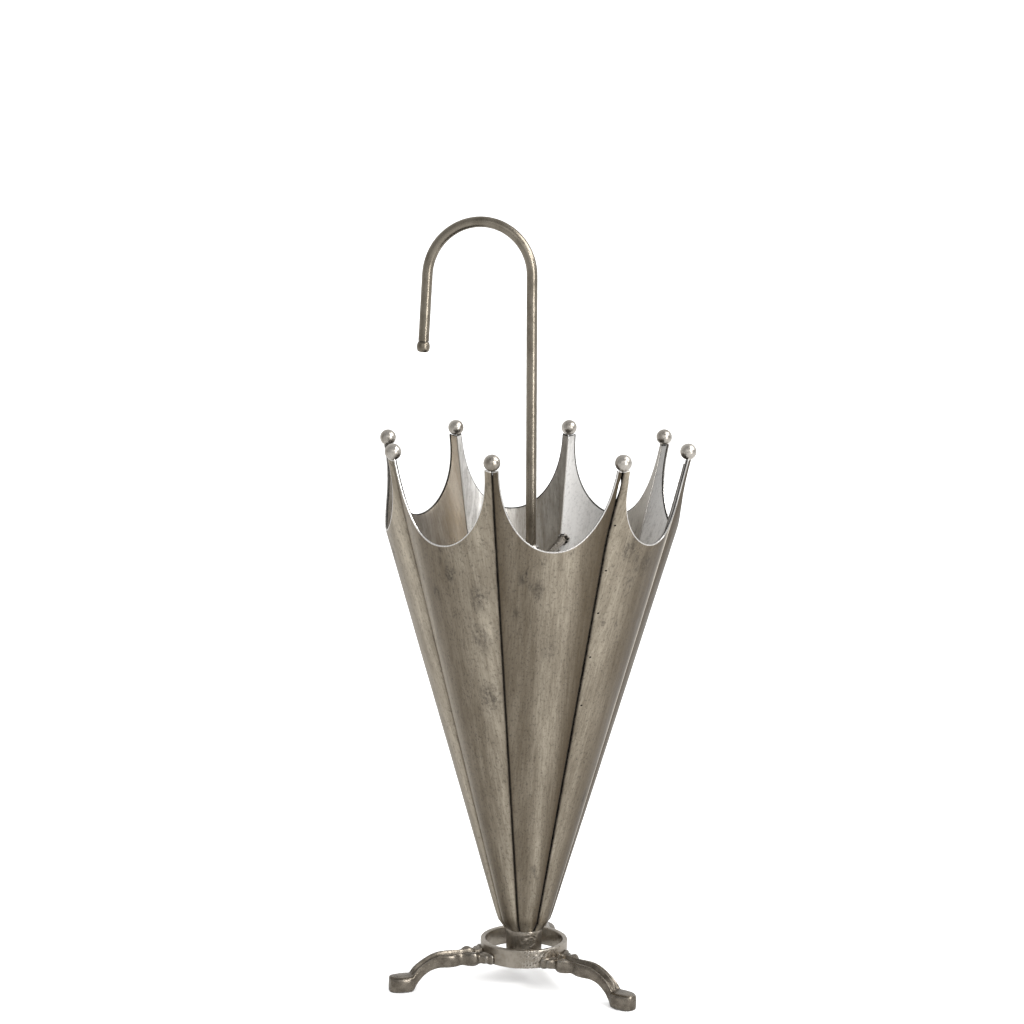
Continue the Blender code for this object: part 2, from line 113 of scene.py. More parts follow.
NECK_SHOULDER_Z = 52.0 * MM
SPIGOT_RADIUS = 15.2 * MM
RING_WALL = 4.8 * MM
NECK_ROUGH_SIDE = radians(30.0)  # the side where the neck and the ring are roughest
RING_ROUGH_SIDE = radians(38.0)
BASE_TURN = radians(4.0)
LEG_ANGLES = {"leg_right": 60.0, "leg_back": 180.0, "leg_left": -60.0}
LEG_HALF = 7.4 * MM
CREST = 2.2 * MM  # height of the leg's middle ridge over its side ridges
GROOVE_DEPTH = 2.08 * MM  # depth of the grooves beside it
LEG_ROUNDING = 2.4 * MM  # drop of the leg's outer edges
LOBE_LIFT = 1.3 * MM  # rise of the side lobes over the strap between them
HUG_LENGTH = 20.0 * MM  # over this length the sections follow the ring's curve
FOOT_HEIGHT = 14.3 * MM
BOLT_RADIUS = 4.0 * MM
BOLT_BORE = BOLT_RADIUS + GAP
HEX_ACROSS_FLATS = 13.0 * MM
CHAMFER = 0.9 * MM
THREAD_TURNS = 12
SPIDER_ARM_HALF = 6.0 * MM
SPIDER_HUB = 18.0 * MM

# ---- detail that only this file has

FOLD = 1.5 * MM  # each panel's long edges turn in by this much at the seam
FOLD_WIDE = 2.2 * MM  # the same at the open rib, whose seam is the widest
FOLD_STEPS = (0.7, 0.43, 0.22, 0.07, 0.0)  # distances from the seam, as shares of the fold
WELD_PROUD = 0.55 * MM  # how far the weld in a seam stands out inside the canopy
WELD_HALF = 0.62 * MM  # half its width
DARK_REACH = 1.5 * MM  # the seam's dirt and painted shade fade out this far from it
DARK_FULL = 0.5 * MM  # nearer than this it is at its darkest
SEAM_SHADE_AND_DIRT = (0.62, 1.0, 0.7, 0.7, 0.7, 0.7, 0.7, 0.45)  # how black each rib's seam is painted, with dirt and painted shade
PRONG_BENDS = {  # bent prongs, by rib: how far outward and to the right
    2: (3.0 * MM, 3.4 * MM),
    7: (-6.0 * MM, 0.0),
}
# painted light and shade across each panel, with its patina, from its left seam (-1) to its right one
# (1); profile 2 ends in a painted highlight from 0.66 on
PANEL_SHADING = {
    1: ((-1.0, 0.2), (-0.9, 0.3), (-0.8, 0.35), (-0.65, 0.34), (-0.5, 0.35), (-0.35, 0.42),
        (-0.2, 0.56), (0.0, 0.7), (0.2, 0.75), (0.35, 0.67), (0.5, 0.48), (0.65, 0.33),
        (0.8, 0.18), (0.9, 0.1), (1.0, 0.08)),
    2: ((-1.0, 0.5), (-0.9, 0.68), (-0.65, 0.72), (-0.5, 0.54), (-0.35, 0.4), (-0.2, 0.32), (0.0, 0.24),
        (0.2, 0.13), (0.45, 0.09), (0.55, 0.3), (0.66, 1.2), (1.0, 1.2)),
    3: ((-1.0, 0.05), (-0.7, 0.08), (-0.4, 0.2), (-0.1, 0.5), (0.3, 0.6), (0.6, 0.4), (1.0, 0.3)),
    8: ((-1.0, 0.85), (-0.9, 0.7), (-0.8, 0.57), (-0.65, 0.37), (-0.5, 0.28), (-0.35, 0.3),
        (-0.1, 0.37), (0.2, 0.46), (0.35, 0.54), (0.5, 0.62), (0.65, 0.75), (0.8, 0.88),
        (0.9, 0.78), (1.0, 0.6)),
}
PANEL_SHADING_ORDER = (1, 2, 3, 8, 1, 3, 8, 8)  # which of these each panel from 1 to 8 has
LINING_SHADING = (0.55, 0.5, 1.2, 1.15, 0.66, 0.24, 0.45, 0.5)  # painted light and shade on the inside of each panel: how pale each lining is drawn
RIM_LINE = 1.3 * MM  # height of the painted line along a panel's top edge: a painted highlight outside, a painted dark reflection inside
COLUMNS = 110  # columns of a panel between its two folds
ROWS = 84
RIM_ROUND = 0.6 * MM  # height of the rounded top edge
# the rounded edge: share of the wall's thickness, and how far below the top in mm
RIM_PROFILE = ((0.03, 0.3), (0.1, 0.08), (0.24, 0.0), (0.5, 0.0), (0.76, 0.0), (0.9, 0.08), (0.97, 0.3))
WOBBLE = 0.28 * MM  # hand-beaten unevenness of the sheets
# its waves: share of WOBBLE, waves per metre across and along, seed
WAVES = ((1.0, 38.0, 9.0, 7.3), (0.35, 90.0, 40.0, 3.1))
CALM_EDGE = 0.2  # share of half a panel over which the waves fade to the seam
CALM_LIP = 20.0 * MM
LAY_STRETCH = 1.043  # length along the slope for each unit of height
PANEL_STEP = 0.371  # sets one panel's grain apart from the next one's
OPEN_RIB = 2  # the seam of this rib stands open below its ball
OPEN_Z = (490.5 * MM, 511.0 * MM)
OPEN_HALF = 0.95 * MM  # half the opening's width
# dark marks: panel, sideways from its middle and height in mm, radius in mm, strength
MARKS = (
    (1, -22.8, 426, 1.3, 0.9), (1, -8.6, 436, 2.6, 0.55), (1, -25.5, 420, 4.5, 0.55),
    (1, -11.6, 411, 5.5, 0.45), (1, -13.5, 402, 4.0, 0.4), (1, -18.0, 412, 3.5, 0.4),
    (1, 16.3, 446, 2.6, 0.5), (1, -30.0, 385, 4.0, 0.35), (1, 2.0, 350, 7.0, 0.25),
    (8, 5.9, 420, 5.5, 0.7), (8, -1.2, 441, 2.4, 0.5), (8, -4.0, 432, 3.0, 0.4),
    (8, -15.7, 398, 4.5, 0.5), (8, 29.1, 398, 9.0, 0.4), (8, 25.5, 358, 9.0, 0.4),
    (8, 24.0, 300, 10.0, 0.4), (2, -28.8, 445, 7.0, 0.5), (2, -34.0, 374, 2.6, 0.5),
    (2, -20.0, 370, 1.8, 0.6), (2, -25.6, 455, 1.6, 0.7), (2, -2.4, 428, 9.0, 0.35),
    (2, -18.0, 434, 4.0, 0.4), (3, 4.0, 425, 6.0, 0.5), (4, -12.0, 432, 5.0, 0.5),
    (5, 9.0, 418, 6.0, 0.5), (6, -6.0, 436, 4.0, 0.5), (7, 12.0, 424, 5.0, 0.5),
    (4, 15.0, 350, 8.0, 0.3), (6, 10.0, 330, 8.0, 0.3), (5, -14.0, 372, 5.0, 0.4),
)
# pinholes along the open rib's seam, on the panel to its right: height in mm
PINHOLES = (468.0, 424.5, 383.0, 339.5, 291.0)
PINHOLE_RADIUS = 1.15 * MM
PINHOLE_OFF = 3.3 * MM  # distance from the seam

# ---- camera

CAMERA_DISTANCE = 2.3827
CAMERA_HEIGHT = 0.8148
CAMERA_AZIMUTH = radians(13.983)  # from the front towards +X
CAMERA_PITCH = radians(8.434)
CAMERA_PAN = radians(0.450)
CAMERA_ROLL = radians(0.970)
CAMERA_LENS = 88.775
CAMERA_SENSOR = 36.0


def smoothstep(value, low, high):
    share = min(1.0, max(0.0, (value - low) / (high - low)))
    return share * share * (3.0 - 2.0 * share)


def outward(angle):
    """The level direction at an angle from the front towards the right."""
    return Vector((sin(angle), -cos(angle), 0.0))


def spin(angle):
    """A turn about the canopy's axis."""
    return Matrix.Rotation(angle, 3, "Z")


def add_camera():
    data = bpy.data.cameras.new("camera")
    data.lens = CAMERA_LENS
    data.sensor_width = CAMERA_SENSOR
    data.sensor_fit = "HORIZONTAL"
    data.clip_start = 0.05
    data.clip_end = 50.0
    obj = bpy.data.objects.new("camera", data)
    bpy.context.scene.collection.objects.link(obj)
    obj.matrix_world = (
        Matrix.Rotation(CAMERA_AZIMUTH, 4, "Z")
        @ Matrix.Translation((0.0, -CAMERA_DISTANCE, CAMERA_HEIGHT))
        @ Matrix.Rotation(CAMERA_PAN, 4, "Z")
        @ Matrix.Rotation(pi / 2 - CAMERA_PITCH, 4, "X")
        @ Matrix.Rotation(CAMERA_ROLL, 4, "Z")
    )
    bpy.context.scene.camera = obj


# ---- node helpers

def add_node(tree, kind, settings=None, **inputs):
    """A shader node. settings are its properties; inputs are sockets or values, by name or as
    i and a number."""
    node = tree.nodes.new(kind)
    for key, value in (settings or {}).items():
        setattr(node, key, value)
    for key, value in inputs.items():
        numbered = key[0] == "i" and key[1:].isdigit()
        socket = node.inputs[int(key[1:]) if numbered else key.replace("_", " ")]
        if isinstance(value, bpy.types.NodeSocket):
            tree.links.new(value, socket)
        else:
            socket.default_value = value
    return node


def math(tree, operation, a, b, clamp=False):
    node = add_node(tree, "ShaderNodeMath", {"operation": operation, "use_clamp": clamp}, i0=a, i1=b)
    return node.outputs[0]


def times(tree, a, b):
    return math(tree, "MULTIPLY", a, b)


def ramp(tree, value, low, high, to_low=0.0, to_high=1.0):
    """A smooth step of a value between low and high."""
    node = add_node(
        tree, "ShaderNodeMapRange", {"interpolation_type": "SMOOTHSTEP", "clamp": True},
        Value=value, From_Min=low, From_Max=high, To_Min=to_low, To_Max=to_high,
    )
    return node.outputs["Result"]


def mix_colour(tree, factor, a, b):
    a, b = [(*tone, 1.0) if isinstance(tone, tuple) else tone for tone in (a, b)]
    settings = {"data_type": "RGBA", "clamp_factor": True}
    return add_node(tree, "ShaderNodeMix", settings, i0=factor, i6=a, i7=b).outputs[2]


def mix_number(tree, factor, a, b):
    return add_node(tree, "ShaderNodeMix", {"data_type": "FLOAT"}, i0=factor, i2=a, i3=b).outputs[0]


def grain(tree, vector, scale, stretch, detail, rough):
    """Noise whose grains are 1/scale metres long, divided by stretch along each axis."""
    mapped = add_node(tree, "ShaderNodeMapping", {"vector_type": "POINT"}, Vector=vector, Scale=stretch)
    node = add_node(
        tree, "ShaderNodeTexNoise", {"noise_dimensions": "3D"},
        Vector=mapped.outputs[0], Scale=scale, Detail=detail, Roughness=rough,
    )
    return node.outputs[0]


def new_metal(name, roughness):
    mat = bpy.data.materials.new(name)
    mat.use_nodes = True
    tree = mat.node_tree
    shader = tree.nodes["Principled BSDF"]
    shader.inputs["Metallic"].default_value = 1.0
    shader.inputs["Roughness"].default_value = roughness
    return mat, tree, shader


def attribute(tree, name, output="Fac"):
    return add_node(tree, "ShaderNodeAttribute", {"attribute_name": name}).outputs[output]


def finish_metal(tree, shader, base, rough, height, strength, distance):
    """Links what a metal's nodes lead to."""
    bump = add_node(tree, "ShaderNodeBump", Height=height, Strength=strength, Distance=distance)
    tree.links.new(base, shader.inputs["Base Color"])
    tree.links.new(rough, shader.inputs["Roughness"])
    tree.links.new(bump.outputs[0], shader.inputs["Normal"])


def panel_shading_at(k, across):
    """How pale panel k is painted at a place across it: painted light and shade with its patina."""
    places = PANEL_SHADING[PANEL_SHADING_ORDER[k - 1]]
    for (low, here), (high, there) in zip(places, places[1:]):
        if across <= high:
            return here + (there - here) * smoothstep(across, low, high)
    return places[-1][1]


# ---- materials

PEWTER = (0.57, 0.506, 0.405)  # buffed sheet
PEWTER_PALE = (0.8, 0.785, 0.76)  # the sheet inside the canopy on its lit side, painted pale as light
LINING_SHADE_TONE = (0.41, 0.375, 0.32)  # the sheet inside the canopy on its shaded side: painted shade
PATINA_AND_SHADE = (0.078, 0.055, 0.03)  # the sheet's patina in its valleys, also the dark end of the panels' painted shade
SMUDGE = (0.06, 0.052, 0.045)
SHADE_AND_DIRT_BLACK = (0.02, 0.018, 0.016)  # near black: dirt and painted shade in the seams, painted shade in the pinholes and the castings' hollows, the painted dark rim line inside, and flecks on the rods
POLISH_AND_HIGHLIGHT = (0.55, 0.525, 0.485)  # worn edges of castings, and the painted highlight on the inner side of the seam welds
RIM_HIGHLIGHT = (0.85, 0.83, 0.8)  # painted highlight along the outside of the canopy's top edge
# lighter and darker tone of the handle and of the balls
ROD_TONES = ((0.285, 0.252, 0.203), (0.195, 0.169, 0.132))
BALL_TONES = ((0.56, 0.525, 0.475), (0.3, 0.265, 0.22))
# castings, welds and bolts: lighter and darker tone, roughness from smooth to coarse, bump
CAST_SKINS = {
    "cast_pewter_skin": ((0.26, 0.228, 0.187), (0.14, 0.12, 0.096), (0.24, 0.36), 0.16),
    # painted light: a lighter copy of the cast skin, for the neck and the ring, to lift them as if lit
    # more
    "lightened_cast_pewter": ((0.42, 0.378, 0.32), (0.3, 0.265, 0.218), (0.27, 0.38), 0.1),
    "weld_metal": ((0.5, 0.475, 0.44), (0.16, 0.145, 0.125), (0.22, 0.42), 0.5),
    # near black: the welds at the bar's ends, and the seam welds, whose outer side stands for painted
    # shade at the bottom of each seam
    "near_black_weld_metal": ((0.1, 0.09, 0.08), (0.035, 0.031, 0.028), (0.4, 0.6), 0.6),
    "bolt_steel_skin": ((0.46, 0.455, 0.445), (0.27, 0.265, 0.26), (0.22, 0.36), 0.12),
}


def pinholes(tree, lay):
    """1 inside the pinholes, which lie on the panel to the right of the open rib."""
    holes = 0.0
    for height in PINHOLES:
        z = height * MM
        sideways = PINHOLE_OFF - section(z, 0.0)[2]
        away = add_node(tree, "ShaderNodeVectorMath", {"operation": "DISTANCE"}, i0=lay)
        away.inputs[1].default_value = (sideways, (z - LIP_Z) * LAY_STRETCH, PANEL_STEP * OPEN_RIB)
        hole = ramp(tree, away.outputs["Value"], PINHOLE_RADIUS, PINHOLE_RADIUS * 0.55)
        holes = math(tree, "MAXIMUM", holes, hole)
    return holes


def panel_material():
    """Antiqued sheet: painted light and shade across each bulge over its patina, smudges, brushed
    streaks and pits, dirt and painted shade in the seams, painted shade in the pinholes and a painted
    line along the rim.
    """
    mat, tree, shader = new_metal("antique_pewter_sheet", 0.4)
    lay = attribute(tree, "lay", "Vector")
    edge = add_node(tree, "ShaderNodeSeparateXYZ", Vector=attribute(tree, "edge", "Vector"))
    across, below, inside = edge.outputs
    # the painted rim line: a painted highlight outside, a painted dark reflection inside
    line = ramp(tree, below, RIM_LINE, RIM_LINE * 0.6)
    rim = math(tree, "MAXIMUM", attribute(tree, "rim"), line)
    seam_shade_and_dirt = attribute(tree, "seam_shade_and_dirt")
    mark = attribute(tree, "mark")

    streaks = grain(tree, lay, 700.0, (1.0, 0.09, 1.0), 5.0, 0.7)
    bands = grain(tree, lay, 110.0, (1.0, 0.1, 1.0), 4.0, 0.55)
    clouds = grain(tree, lay, 26.0, (1.0, 0.45, 1.0), 4.0, 0.6)
    speckle = grain(tree, lay, 520.0, (1.0, 0.6, 1.0), 3.0, 0.75)
    ragged = grain(tree, lay, 260.0, (1.0, 0.6, 1.0), 5.0, 0.7)

    tone = attribute(tree, "tone")
    tone = times(tree, tone, ramp(tree, bands, 0.32, 0.68, 1.2, 0.8))
    tone = times(tree, tone, ramp(tree, clouds, 0.35, 0.7, 1.1, 0.85))
    tone = times(tree, tone, ramp(tree, streaks, 0.32, 0.68, 0.78, 1.22))
    # painted light and shade: each panel runs from the dark patina colour to the pewter as its shading
    # profile gives
    outside = mix_colour(tree, times(tree, tone, 0.8), PATINA_AND_SHADE, PEWTER)
    # painted light and shade inside: each lining is shaded towards its left seam and lit towards its
    # right one
    shade = ramp(tree, across, 0.5, -0.55, 0.0, 0.8)
    shade = math(tree, "ADD", shade, ramp(tree, clouds, 0.45, 0.75, 0.0, 0.2))
    lining = mix_colour(tree, shade, PEWTER_PALE, LINING_SHADE_TONE)
    # painted shade: each lining darkened towards the patina colour by its painted shading
    lining = mix_colour(tree, tone, PATINA_AND_SHADE, lining)
    base = mix_colour(tree, inside, outside, lining)
    fleck = times(tree, ramp(tree, speckle, 0.5, 0.7), mix_number(tree, inside, 0.5, 0.2))
    base = mix_colour(tree, fleck, base, SMUDGE)

    smudge_noise = grain(tree, lay, 50.0, (1.0, 0.5, 1.0), 6.0, 0.7)
    smudge = times(tree, ramp(tree, smudge_noise, 0.6, 0.76), 0.6)
    marked = times(tree, mark, ramp(tree, ragged, 0.36, 0.58, 0.15, 1.25))
    smudge = math(tree, "MAXIMUM", smudge, marked)
    base = mix_colour(tree, smudge, base, SMUDGE)
    # dirt and painted shade in the seams, ragged at its edge
    seam_darkening = math(tree, "MULTIPLY", seam_shade_and_dirt, ramp(tree, ragged, 0.3, 0.65, 1.15, 0.7), clamp=True)
    base = mix_colour(tree, seam_darkening, base, SHADE_AND_DIRT_BLACK)
    # painted shade: the pinholes are drawn black, as the shade inside them
    holes = times(tree, pinholes(tree, lay), math(tree, "SUBTRACT", 1.0, inside))
    base = mix_colour(tree, holes, base, SHADE_AND_DIRT_BLACK)
    # painted highlight on the rim's outer side, painted dark reflection on its inner side
    rim_highlight_and_shade = mix_colour(tree, ramp(tree, inside, 0.4, 0.6), RIM_HIGHLIGHT, SHADE_AND_DIRT_BLACK)
    base = mix_colour(tree, times(tree, rim, 0.9), base, rim_highlight_and_shade)

    rough = ramp(tree, streaks, 0.3, 0.75, 0.32, 0.5)
    rough = math(tree, "ADD", rough, times(tree, smudge, 0.15))
    rough = math(tree, "SUBTRACT", rough, times(tree, rim, 0.1))
    height = math(tree, "ADD", times(tree, streaks, 0.5), times(tree, speckle, 0.6))
    height = math(tree, "SUBTRACT", height, times(tree, holes, 3.0))
    finish_metal(tree, shader, base, rough, height, 0.3, 0.4 * MM)
    return mat


def rod_material(name, light, dark):
    """Bright pewter, handled smooth, with darker clouding."""
    mat, tree, shader = new_metal(name, 0.38)
    place = add_node(tree, "ShaderNodeTexCoord").outputs["Object"]
    clouds = grain(tree, place, 70.0, (1.0, 1.0, 0.5), 4.0, 0.6)
    fine = grain(tree, place, 900.0, (1.0, 1.0, 0.3), 3.0, 0.6)
    base = mix_colour(tree, ramp(tree, clouds, 0.42, 0.68), light, dark)
    base = mix_colour(tree, ramp(tree, fine, 0.62, 0.8, 0.0, 0.35), base, SHADE_AND_DIRT_BLACK)
    rough = ramp(tree, fine, 0.3, 0.75, 0.26, 0.38)
    finish_metal(tree, shader, base, rough, fine, 0.2, 0.3 * MM)
    return mat


def cast_material(name, light, dark, roughness, strength):
    """Sand-cast metal: grainy skin, with painted shade in its hollows, rubbed bright on its edges."""
    mat, tree, shader = new_metal(name, sum(roughness) / 2)
    place = add_node(tree, "ShaderNodeTexCoord").outputs["Object"]
    skin_grain = grain(tree, place, 420.0, (1.0, 1.0, 1.0), 4.0, 0.65)
    lumps = grain(tree, place, 110.0, (1.0, 1.0, 1.0), 4.0, 0.6)
    wear_and_highlight = attribute(tree, "wear_and_highlight")
    flecks = times(tree, ramp(tree, skin_grain, 0.5, 0.8), 0.2)
    tone = math(tree, "ADD", ramp(tree, lumps, 0.35, 0.7), flecks)
    base = mix_colour(tree, tone, light, dark)
    # edge wear on the castings; on the seam welds a painted highlight
    base = mix_colour(tree, times(tree, wear_and_highlight, 0.8), base, POLISH_AND_HIGHLIGHT)
    hollow_shade = attribute(tree, "hollow_shade")
    # painted shade: the hollows are darkened towards black
    base = mix_colour(tree, times(tree, hollow_shade, 0.9), base, SHADE_AND_DIRT_BLACK)
    rough = ramp(tree, skin_grain, 0.3, 0.75, *roughness)
    height = math(tree, "ADD", times(tree, skin_grain, 0.35), lumps)
    finish_metal(tree, shader, base, rough, height, strength, 0.9 * MM)
    return mat


# ---- mesh helpers

def add_piece(name, mesh, mat, nodes):
    obj = bpy.data.objects.new(name, mesh)
    bpy.context.scene.collection.objects.link(obj)
    mesh.materials.append(mat)
    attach(obj, "root")
    if nodes:
        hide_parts(*nodes)


def mesh_from(name, bm, sharp=40.0):
    bmesh.ops.recalc_face_normals(bm, faces=bm.faces[:])
    mesh = bpy.data.meshes.new(name)
    bm.to_mesh(mesh)
    bm.free()
    mesh.shade_smooth()
    mesh.set_sharp_from_angle(angle=radians(sharp))
    return mesh


def set_attribute(mesh, name, values):
    """Stores one number, or one (x, y, z), for each vertex."""
    vector = isinstance(values[0], (tuple, Vector))
    layer = mesh.attributes.new(name, "FLOAT_VECTOR" if vector else "FLOAT", "POINT")
    if vector:
        layer.data.foreach_set("vector", [number for value in values for number in value])
    else:
        layer.data.foreach_set("value", values)


def skin(bm, rings, closed=False):
    """Joins rings of points. closed joins the last ring to the first; else both ends are capped."""
    rows = [[bm.verts.new(point) for point in ring] for ring in rings]
    count = len(rows[0])
    pairs = list(zip(rows, rows[1:]))
    if closed:
        pairs.append((rows[-1], rows[0]))
    else:
        bm.faces.new(list(reversed(rows[0])))
        bm.faces.new(rows[-1])
    for low, high in pairs:
        for i in range(count):
            j = (i + 1) % count
            bm.faces.new((low[i], low[j], high[j], high[i]))


def circle(radius, z, sides):
    height = Vector((0.0, 0.0, z))
    return [radius * outward(2 * pi * i / sides) + height for i in range(sides)]


def rounded(profile, radius, closed, steps=4):
    """The profile with each corner replaced by an arc-like curve of about this radius."""
    count = len(profile)
    points = []
    for i, here in enumerate(profile):
        if not closed and i in (0, count - 1):
            points.append(Vector(here))
            continue
        here = Vector(here)
        before, after = Vector(profile[i - 1]), Vector(profile[(i + 1) % count])
        into, out = before - here, after - here
        start = here + into.normalized() * min(radius, into.length * 0.45)
        end = here + out.normalized() * min(radius, out.length * 0.45)
        for k in range(steps + 1):
            t = k / steps
            points.append(start.lerp(here, t).lerp(here.lerp(end, t), t))
    return points


def subdivided(profile, closed, longest):
    """The same line with extra points, so that no step is longer than longest."""
    points = []
    count = len(profile)
    for i in range(count if closed else count - 1):
        here, there = profile[i], profile[(i + 1) % count]
        steps = max(1, round((there - here).length / longest))
        points += [here.lerp(there, k / steps) for k in range(steps)]
    if not closed:
        points.append(profile[-1])
    return points


def roughen(mesh, amount, size, seed=0.0, inward=False, floor=None):
    """Moves each vertex along its normal by noise. amount is a number or a function of place."""
    mesh.update()
    moved = []
    for vert, normal in zip(mesh.vertices, mesh.vertex_normals):
        depth = amount(vert.co) if callable(amount) else amount
        wave = noise.fractal(vert.co / size + Vector((seed, seed, seed)), 1.0, 2.0, 2)
        if inward:
            wave = -abs(wave)
        place = vert.co + depth * wave * normal.vector
        if floor is not None:
            place.z = max(floor, place.z)
        moved.append(place)
    for vert, place in zip(mesh.vertices, moved):
        vert.co = place
    mesh.update()


def edge_wear_and_hollow_shade(mesh, low, high):
    """Stores how sharply each vertex stands out or lies in a hollow, each from 0 to 1: the first for
    edge wear, the second for painted shade in the hollows.
    """
    bm = bmesh.new()
    bm.from_mesh(mesh)
    raised, hollow_shade = [], []
    for vert in bm.verts:
        bend = 0.0
        for edge in vert.link_edges:
            away = (edge.other_vert(vert).co - vert.co).normalized()
            bend -= away.dot(vert.normal)
        bend /= max(1, len(vert.link_edges))
        raised.append(smoothstep(bend, low, high))
        hollow_shade.append(smoothstep(-bend, low, high))
    bm.free()
    set_attribute(mesh, "wear_and_highlight", raised)
    set_attribute(mesh, "hollow_shade", hollow_shade)


def add_worked(name, bm, mat, node, rough=None, wear_and_shade=None, sharp=60.0):
    """Adds a body, beaten inward by rough (depth, grain size, seed), with its edge wear and the painted
    shade of its hollows stored.
    """
    mesh = mesh_from(name, bm, sharp)
    if rough:
        roughen(mesh, *rough, inward=True)
    if wear_and_shade:
        edge_wear_and_hollow_shade(mesh, *wear_and_shade)
    add_piece(name, mesh, mat, [node])


def subsurfed(mesh, levels):
    """The mesh with subdivision applied."""
    obj = bpy.data.objects.new("cage", mesh)
    bpy.context.scene.collection.objects.link(obj)
    modifier = obj.modifiers.new("smooth", "SUBSURF")
    modifier.levels = levels
    bpy.context.view_layer.update()
    depsgraph = bpy.context.evaluated_depsgraph_get()
    result = bpy.data.meshes.new_from_object(obj.evaluated_get(depsgraph))
    bpy.data.objects.remove(obj, do_unlink=True)
    return result


# ---- canopy surface

def mid_radius(z):
    straight = MID_RADIUS_LOW + CONE_SLOPE * (z - CONE_LOW)
    if z >= CONE_LOW:
        return straight
    share = (CONE_LOW - z) / (CONE_LOW - LIP_Z)
    straight_at_lip = MID_RADIUS_LOW + CONE_SLOPE * (LIP_Z - CONE_LOW)
    return straight - (straight_at_lip - LIP_RADIUS) * share ** LIP_CURL


def rib_radius(z):
    lean = max(0.0, (z - SCALLOP_Z) / (PRONG_Z - SCALLOP_Z))
    return RIB_RATIO * mid_radius(z) - PRONG_PULL_IN * lean ** 2


def section(z, inset):
    """Centre and radius of the panel's arc at height z, and half its width."""
    rib = rib_radius(z)
    half_chord = rib * sin(HALF_PANEL)
    rise = rib / RIB_RATIO - rib * cos(HALF_PANEL)
    arc = (rise * rise + half_chord * half_chord) / (2 * rise)
    centre = rib / RIB_RATIO - arc
    arc -= inset
    seam = centre * cos(HALF_PANEL) + sqrt(arc ** 2 - (centre * sin(HALF_PANEL)) ** 2)
    return centre, arc, seam * sin(HALF_PANEL) - GAP / 2 / cos(HALF_PANEL)


def panel_point(across, z, inset):
    centre, arc, half_width = section(z, inset)
    sideways = across * half_width
    return Vector((sideways, -(centre + sqrt(arc ** 2 - sideways ** 2)), z))


def bent(point):
    """Where a point of the canopy lies once the bent prongs are pushed off their places."""
    lean = smoothstep(point.z, SCALLOP_Z, PRONG_Z)
    moved = point.copy()
    for rib, (push, sideways) in PRONG_BENDS.items():
        angle = (rib - 1) * 2 * HALF_PANEL
        out = outward(angle)
        side = outward(angle + pi / 2)
        away = min(1.0, abs(atan2(point.dot(side), point.dot(out))) / (2 * HALF_PANEL))
        fade = cos(away * pi / 2) ** 2
        moved += lean * fade * (push * out + sideways * side)
    return moved


def fold_depth(share):
    """How far the sheet turns in at a distance from the seam, both as shares of the fold."""
    return 1.0 - sqrt(1.0 - (1.0 - min(1.0, share)) ** 2)


def side_fold(k, side):
    """Width of panel k's fold on its left (-1) or right (+1) edge."""
    rib = k if side < 0 else k % PANELS + 1
    return FOLD_WIDE if rib == OPEN_RIB else FOLD


def half_outline():
    """The top edge from a panel's middle to its seam, finely, as (sideways, z)."""
    points = []
    for i in range(71):
        side = i / 100
        rise = 1.0 - (1.0 - side ** SCALLOP_BOW) ** SCALLOP_TURN
        points.append((side, rise))
    start = points[-1][1]
    for i in range(1, 121):
        rise = start + (1.0 - start) * i / 120
        side = (1.0 - (1.0 - rise) ** (1.0 / SCALLOP_TURN)) ** (1.0 / SCALLOP_BOW)
        points.append((side, rise))
    line = []
    for side, rise in points:
        z = SCALLOP_Z + (PRONG_Z - SCALLOP_Z) * rise
        line.append(Vector((side * (1.0 - PRONG_HALF) * section(z, 0.0)[2], z)))
    seam = section(PRONG_Z, 0.0)[2]
    corner = line[-1].x
    keep = BALL_RADIUS + SEAT_GAP
    for i in range(1, 31):
        sideways = corner + (seam - corner) * i / 30
        away = seam - sideways
        z = PRONG_Z
        if away < keep:
            z = min(z, BALL_Z - sqrt(keep ** 2 - away ** 2))
        line.append(Vector((sideways, z)))
    for _ in range(12):
        line = [line[0]] + [
            (a + 2 * b + c) / 4 for a, b, c in zip(line, line[1:], line[2:])
        ] + [line[-1]]
    return line


def along_line(line, count):
    """count + 1 places at equal steps along a line."""
    lengths = [0.0]
    for here, there in zip(line, line[1:]):
        lengths.append(lengths[-1] + (there - here).length)
    places = []
    k = 0
    for i in range(count + 1):
        want = lengths[-1] * i / count
        while k < len(lengths) - 2 and lengths[k + 1] < want:
            k += 1
        share = (want - lengths[k]) / (lengths[k + 1] - lengths[k])
        places.append(line[k].lerp(line[k + 1], share))
    return places


def panel_columns(line, side, fold):
    """For each column from the middle out: share across at the lip, top place, the rim's way
    out, distance from the seam if it lies in the fold, side and fold width."""
    seam = line[-1].x
    keep = [place for place in line if place.x <= seam - fold]
    inner = along_line(keep, COLUMNS // 2)
    half = [(i / (COLUMNS // 2), place, None) for i, place in enumerate(inner)]
    for step in FOLD_STEPS:
        distance = step * fold
        place = min(line, key=lambda p: abs(p.x - (seam - distance)))
        half.append((None, Vector((seam - distance, place.y)), distance))
    columns = []
    for i, (share, place, distance) in enumerate(half):
        before = half[max(0, i - 1)][1]
        after = half[min(len(half) - 1, i + 1)][1]
        level = i == 0 or distance is not None
        way = Vector((1.0, 0.0)) if level else (after - before).normalized()
        columns.append((share, place, Vector((-way.y, way.x)), distance, side, fold))
    return columns


